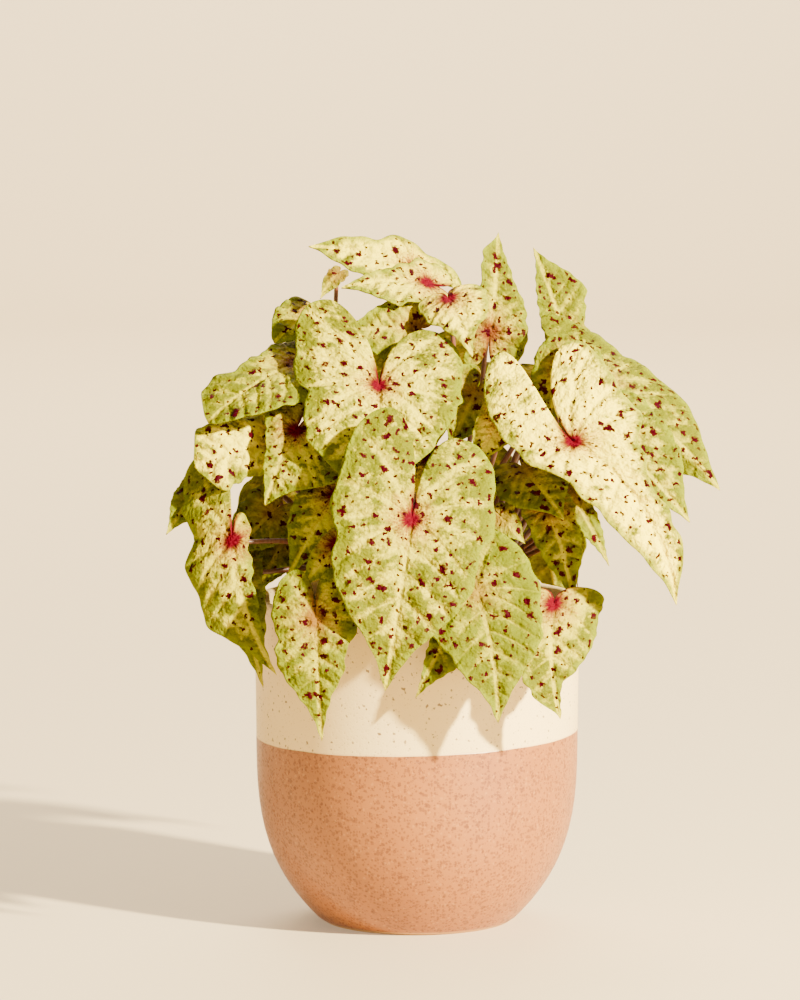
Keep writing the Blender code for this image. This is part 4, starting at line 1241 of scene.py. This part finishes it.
def stalk_route(shape):
    """Points of a stalk from its tuber into the blade's underside."""
    blade = Blade(shape)
    normal = Vector(blade.normal_at_heart())
    heart = Vector(blade.heart)
    end = heart - normal * shape["seat"] * MM
    neck = end - normal * STALK_SEAT
    crown_x, crown_y = CROWNS[shape["clump"]]
    crown = Vector((crown_x * MM, crown_y * MM, SOIL_TOP))
    out = Vector((neck.x - crown.x, neck.y - crown.y, 0)).normalized()
    foot = crown + out * STALK_FOOT + Vector((0, 0, STALK_FOOT))
    arrive = Vector(shape["arrive"] or normal * ARRIVE_ALONG + ARRIVE_UP).normalized()
    rise = shape["rise"] * MM
    climb = foot + Vector((0, 0, rise)) + out * rise * STALK_LEAN
    lean = neck - arrive * (neck - foot).length * shape["reach"]
    route = []
    for step in range(STALK_SPANS + 1):
        t = step / STALK_SPANS
        ease = 1 - t
        route.append(
            foot * ease**3 + climb * 3 * ease**2 * t + lean * 3 * ease * t**2 + neck * t**3
        )
    return route + [end, heart - normal * STALK_TUCK * MM]


def grow_stalk(name, shape):
    """One stalk as a mesh tube."""
    route = stalk_route(shape)
    curve = bpy.data.curves.new(name, "CURVE")
    curve.dimensions = "3D"
    curve.bevel_depth = STALK_BASE_RADIUS
    curve.bevel_resolution = 2
    curve.use_fill_caps = True
    spline = curve.splines.new("POLY")
    spline.points.add(len(route) - 1)
    slimmest = STALK_TIP_RADIUS / STALK_BASE_RADIUS
    for index, place in enumerate(route):
        spline.points[index].co = (*place, 1)
        spline.points[index].radius = 1 + (slimmest - 1) * index / (len(route) - 1)
    stalk = bpy.data.objects.new(name, curve)
    bpy.context.scene.collection.objects.link(stalk)
    pick(stalk)
    bpy.ops.object.convert(target="MESH")
    weld(TUBE_WELD, outwards=True)
    return bpy.context.object


# %% Crowns
CROWN_DEPTH = 15 * MM
CROWN_HEIGHT = 14 * MM
CROWN_SIDES = 24
# Each ring's share of the crown's radius and of its height above the soil
CROWN_RINGS = [(1, 0), (0.97, 0.25), (0.9, 0.5), (0.78, 0.75), (0.6, 0.9), (0.3, 0.98)]


def grow_crown(clump):
    """The top of a tuber, turned from a disc like a pot."""
    rings = [(r * CROWN_RADIUS, SOIL_TOP + h * CROWN_HEIGHT) for r, h in CROWN_RINGS]
    crown = turn_from_disc("crown", (CROWN_RADIUS, SOIL_TOP - CROWN_DEPTH), rings, CROWN_SIDES)
    crown.location = (CROWNS[clump][0] * MM, CROWNS[clump][1] * MM, 0)
    return crown


# %% Stalk material
STALK_LOW = (0.11, 0.040, 0.016)
STALK_HIGH = (0.14, 0.038, 0.020)
STALK_STREAK = (0.20, 0.10, 0.04)
CROWN_SKIN = (0.25, 0.17, 0.07)
STREAK_SCALE = (900, 900, 60)


def make_stalk_material():
    plain = {"Roughness": 0.42, "Subsurface Weight": 0.12, "Subsurface Scale": 1 * MM}
    mix = Finish("stalk_skin", plain)
    place = mix.place()
    z = mix.split(place)[2]
    streaks = mix.noise(mix.add("Mapping", {"Vector": place, "Scale": STREAK_SCALE})[0], 1, 3)
    colour = mix.blend(mix.ramp(z, 140 * MM, 270 * MM), STALK_LOW, STALK_HIGH)
    colour = mix.blend(mix.ramp(streaks, 0.4, 0.7, 0, 0.5), colour, STALK_STREAK)
    colour = mix.paint(colour, mix.ramp(z, 140 * MM, 150 * MM, 1, 0), 0.7, CROWN_SKIN)
    return mix.done(colour, streaks, 0.15 * MM)


# %% Every tuber's stalks
stalk_material = make_stalk_material()
for clump in CROWNS:
    shapes = [shape for shape in LEAVES if shape["clump"] == clump]
    stalks = [grow_stalk(f"stalk_{number}", shape) for number, shape in enumerate(shapes)]
    tuft = join_pieces(f"stalks_{clump}", [grow_crown(clump)] + stalks)
    dress(tuft, stalk_material)
    bpy.ops.object.shade_smooth_by_angle(angle=STALK_CREASE)
    settle(tuft, "petiole_skin", f"stems_{clump}")
    print(clump, "stalks:", len(shapes), "faces:", len(tuft.data.polygons))

# %% [markdown]
# ## Floor and light
# The portrait stands on a pale table before a pale wall. One sheet that curves up behind the
# pot gives both without a corner. A warm lamp high on the right throws the leaves' shadows to
# the left, two large soft panels keep those shadows light, and a fourth lamp brightens the
# wall.

# %% Floor and backdrop
FLOOR_COLOUR = (0.60, 0.46, 0.26)
FLOOR_SHADE = tuple(0.98 * part for part in FLOOR_COLOUR)
FLOOR_GLOW = {
    "Roughness": 0.6,
    "Emission Color": (1.0, 0.84, 0.58),
    "Emission Strength": 0.3,
}
FLOOR_SIZE = (10, 8, 1)
FLOOR_MIDDLE = (0, -0.4, 0)
FLOOR_BACK = 3.5
SWEEP_RADIUS = 0.8
SWEEP_STEPS = 12
WALL_HEIGHT = 4


def make_floor():
    """A floor whose back edge is extruded round a quarter turn and then up into a wall."""
    deselect_all()
    bpy.ops.mesh.primitive_plane_add(size=1)
    floor = bpy.context.object
    floor.name = "pale_sweep"
    floor.scale = FLOOR_SIZE
    floor.location = FLOOR_MIDDLE
    apply_place(floor)
    unpick_all("EDGE")
    for edge in floor.data.edges:
        ends = [floor.data.vertices[index].co.y for index in edge.vertices]
        edge.select = min(ends) > FLOOR_BACK
    mode("EDIT")
    turn_step = math.radians(90 / SWEEP_STEPS)
    for step in range(SWEEP_STEPS):
        turn = turn_step * (step + 0.5)
        reach = SWEEP_RADIUS * turn_step
        extrude((0, reach * math.cos(turn), reach * math.sin(turn)))
    extrude((0, 0, WALL_HEIGHT))
    mode("OBJECT")
    bpy.ops.object.shade_smooth()
    mix = Finish("pale_floor", FLOOR_GLOW)
    dress(floor, mix.done(mix.blend(mix.noise(mix.place(), 3), FLOOR_COLOUR, FLOOR_SHADE)))


make_floor()

# %% Lamps and room light
SOFT_WHITE = (1.0, 0.95, 0.82)
# Each lamp's place, the point that it looks at, its size, power and colour
LAMPS = {
    "warm_key": ((1.75, -1.5, 1.45), (0, 0, 0.18), 0.12, 560, (1.0, 0.92, 0.72)),
    "soft_top": ((-0.6, -0.9, 2.3), (0, 0, 0.1), 2.2, 16, SOFT_WHITE),
    "soft_front": ((-1.6, -2.4, 0.9), (0, 0, 0.2), 1.8, 8, SOFT_WHITE),
    "wall_wash": ((0, 2.4, 2.8), (0, 4.0, 0.0), 2.0, 320, (1.0, 0.92, 0.78)),
}
ROOM_COLOUR = (1.0, 0.90, 0.74)
ROOM_STRENGTH = 0.36

for name, (place, aim, size, power, colour) in LAMPS.items():
    lamp = bpy.data.lights.new(name, "AREA")
    lamp.shape = "SQUARE"
    lamp.size = size
    lamp.energy = power
    lamp.color = colour
    panel = bpy.data.objects.new(name, lamp)
    bpy.context.scene.collection.objects.link(panel)
    panel.location = place
    panel.rotation_euler = (Vector(aim) - Vector(place)).to_track_quat("-Z", "Y").to_euler()

world = bpy.data.worlds.new("pale_room")
world.use_nodes = True
room = world.node_tree.nodes["Background"].inputs
room["Color"].default_value = (*ROOM_COLOUR, 1)
room["Strength"].default_value = ROOM_STRENGTH
bpy.context.scene.world = world
print("lamps:", len(LAMPS))
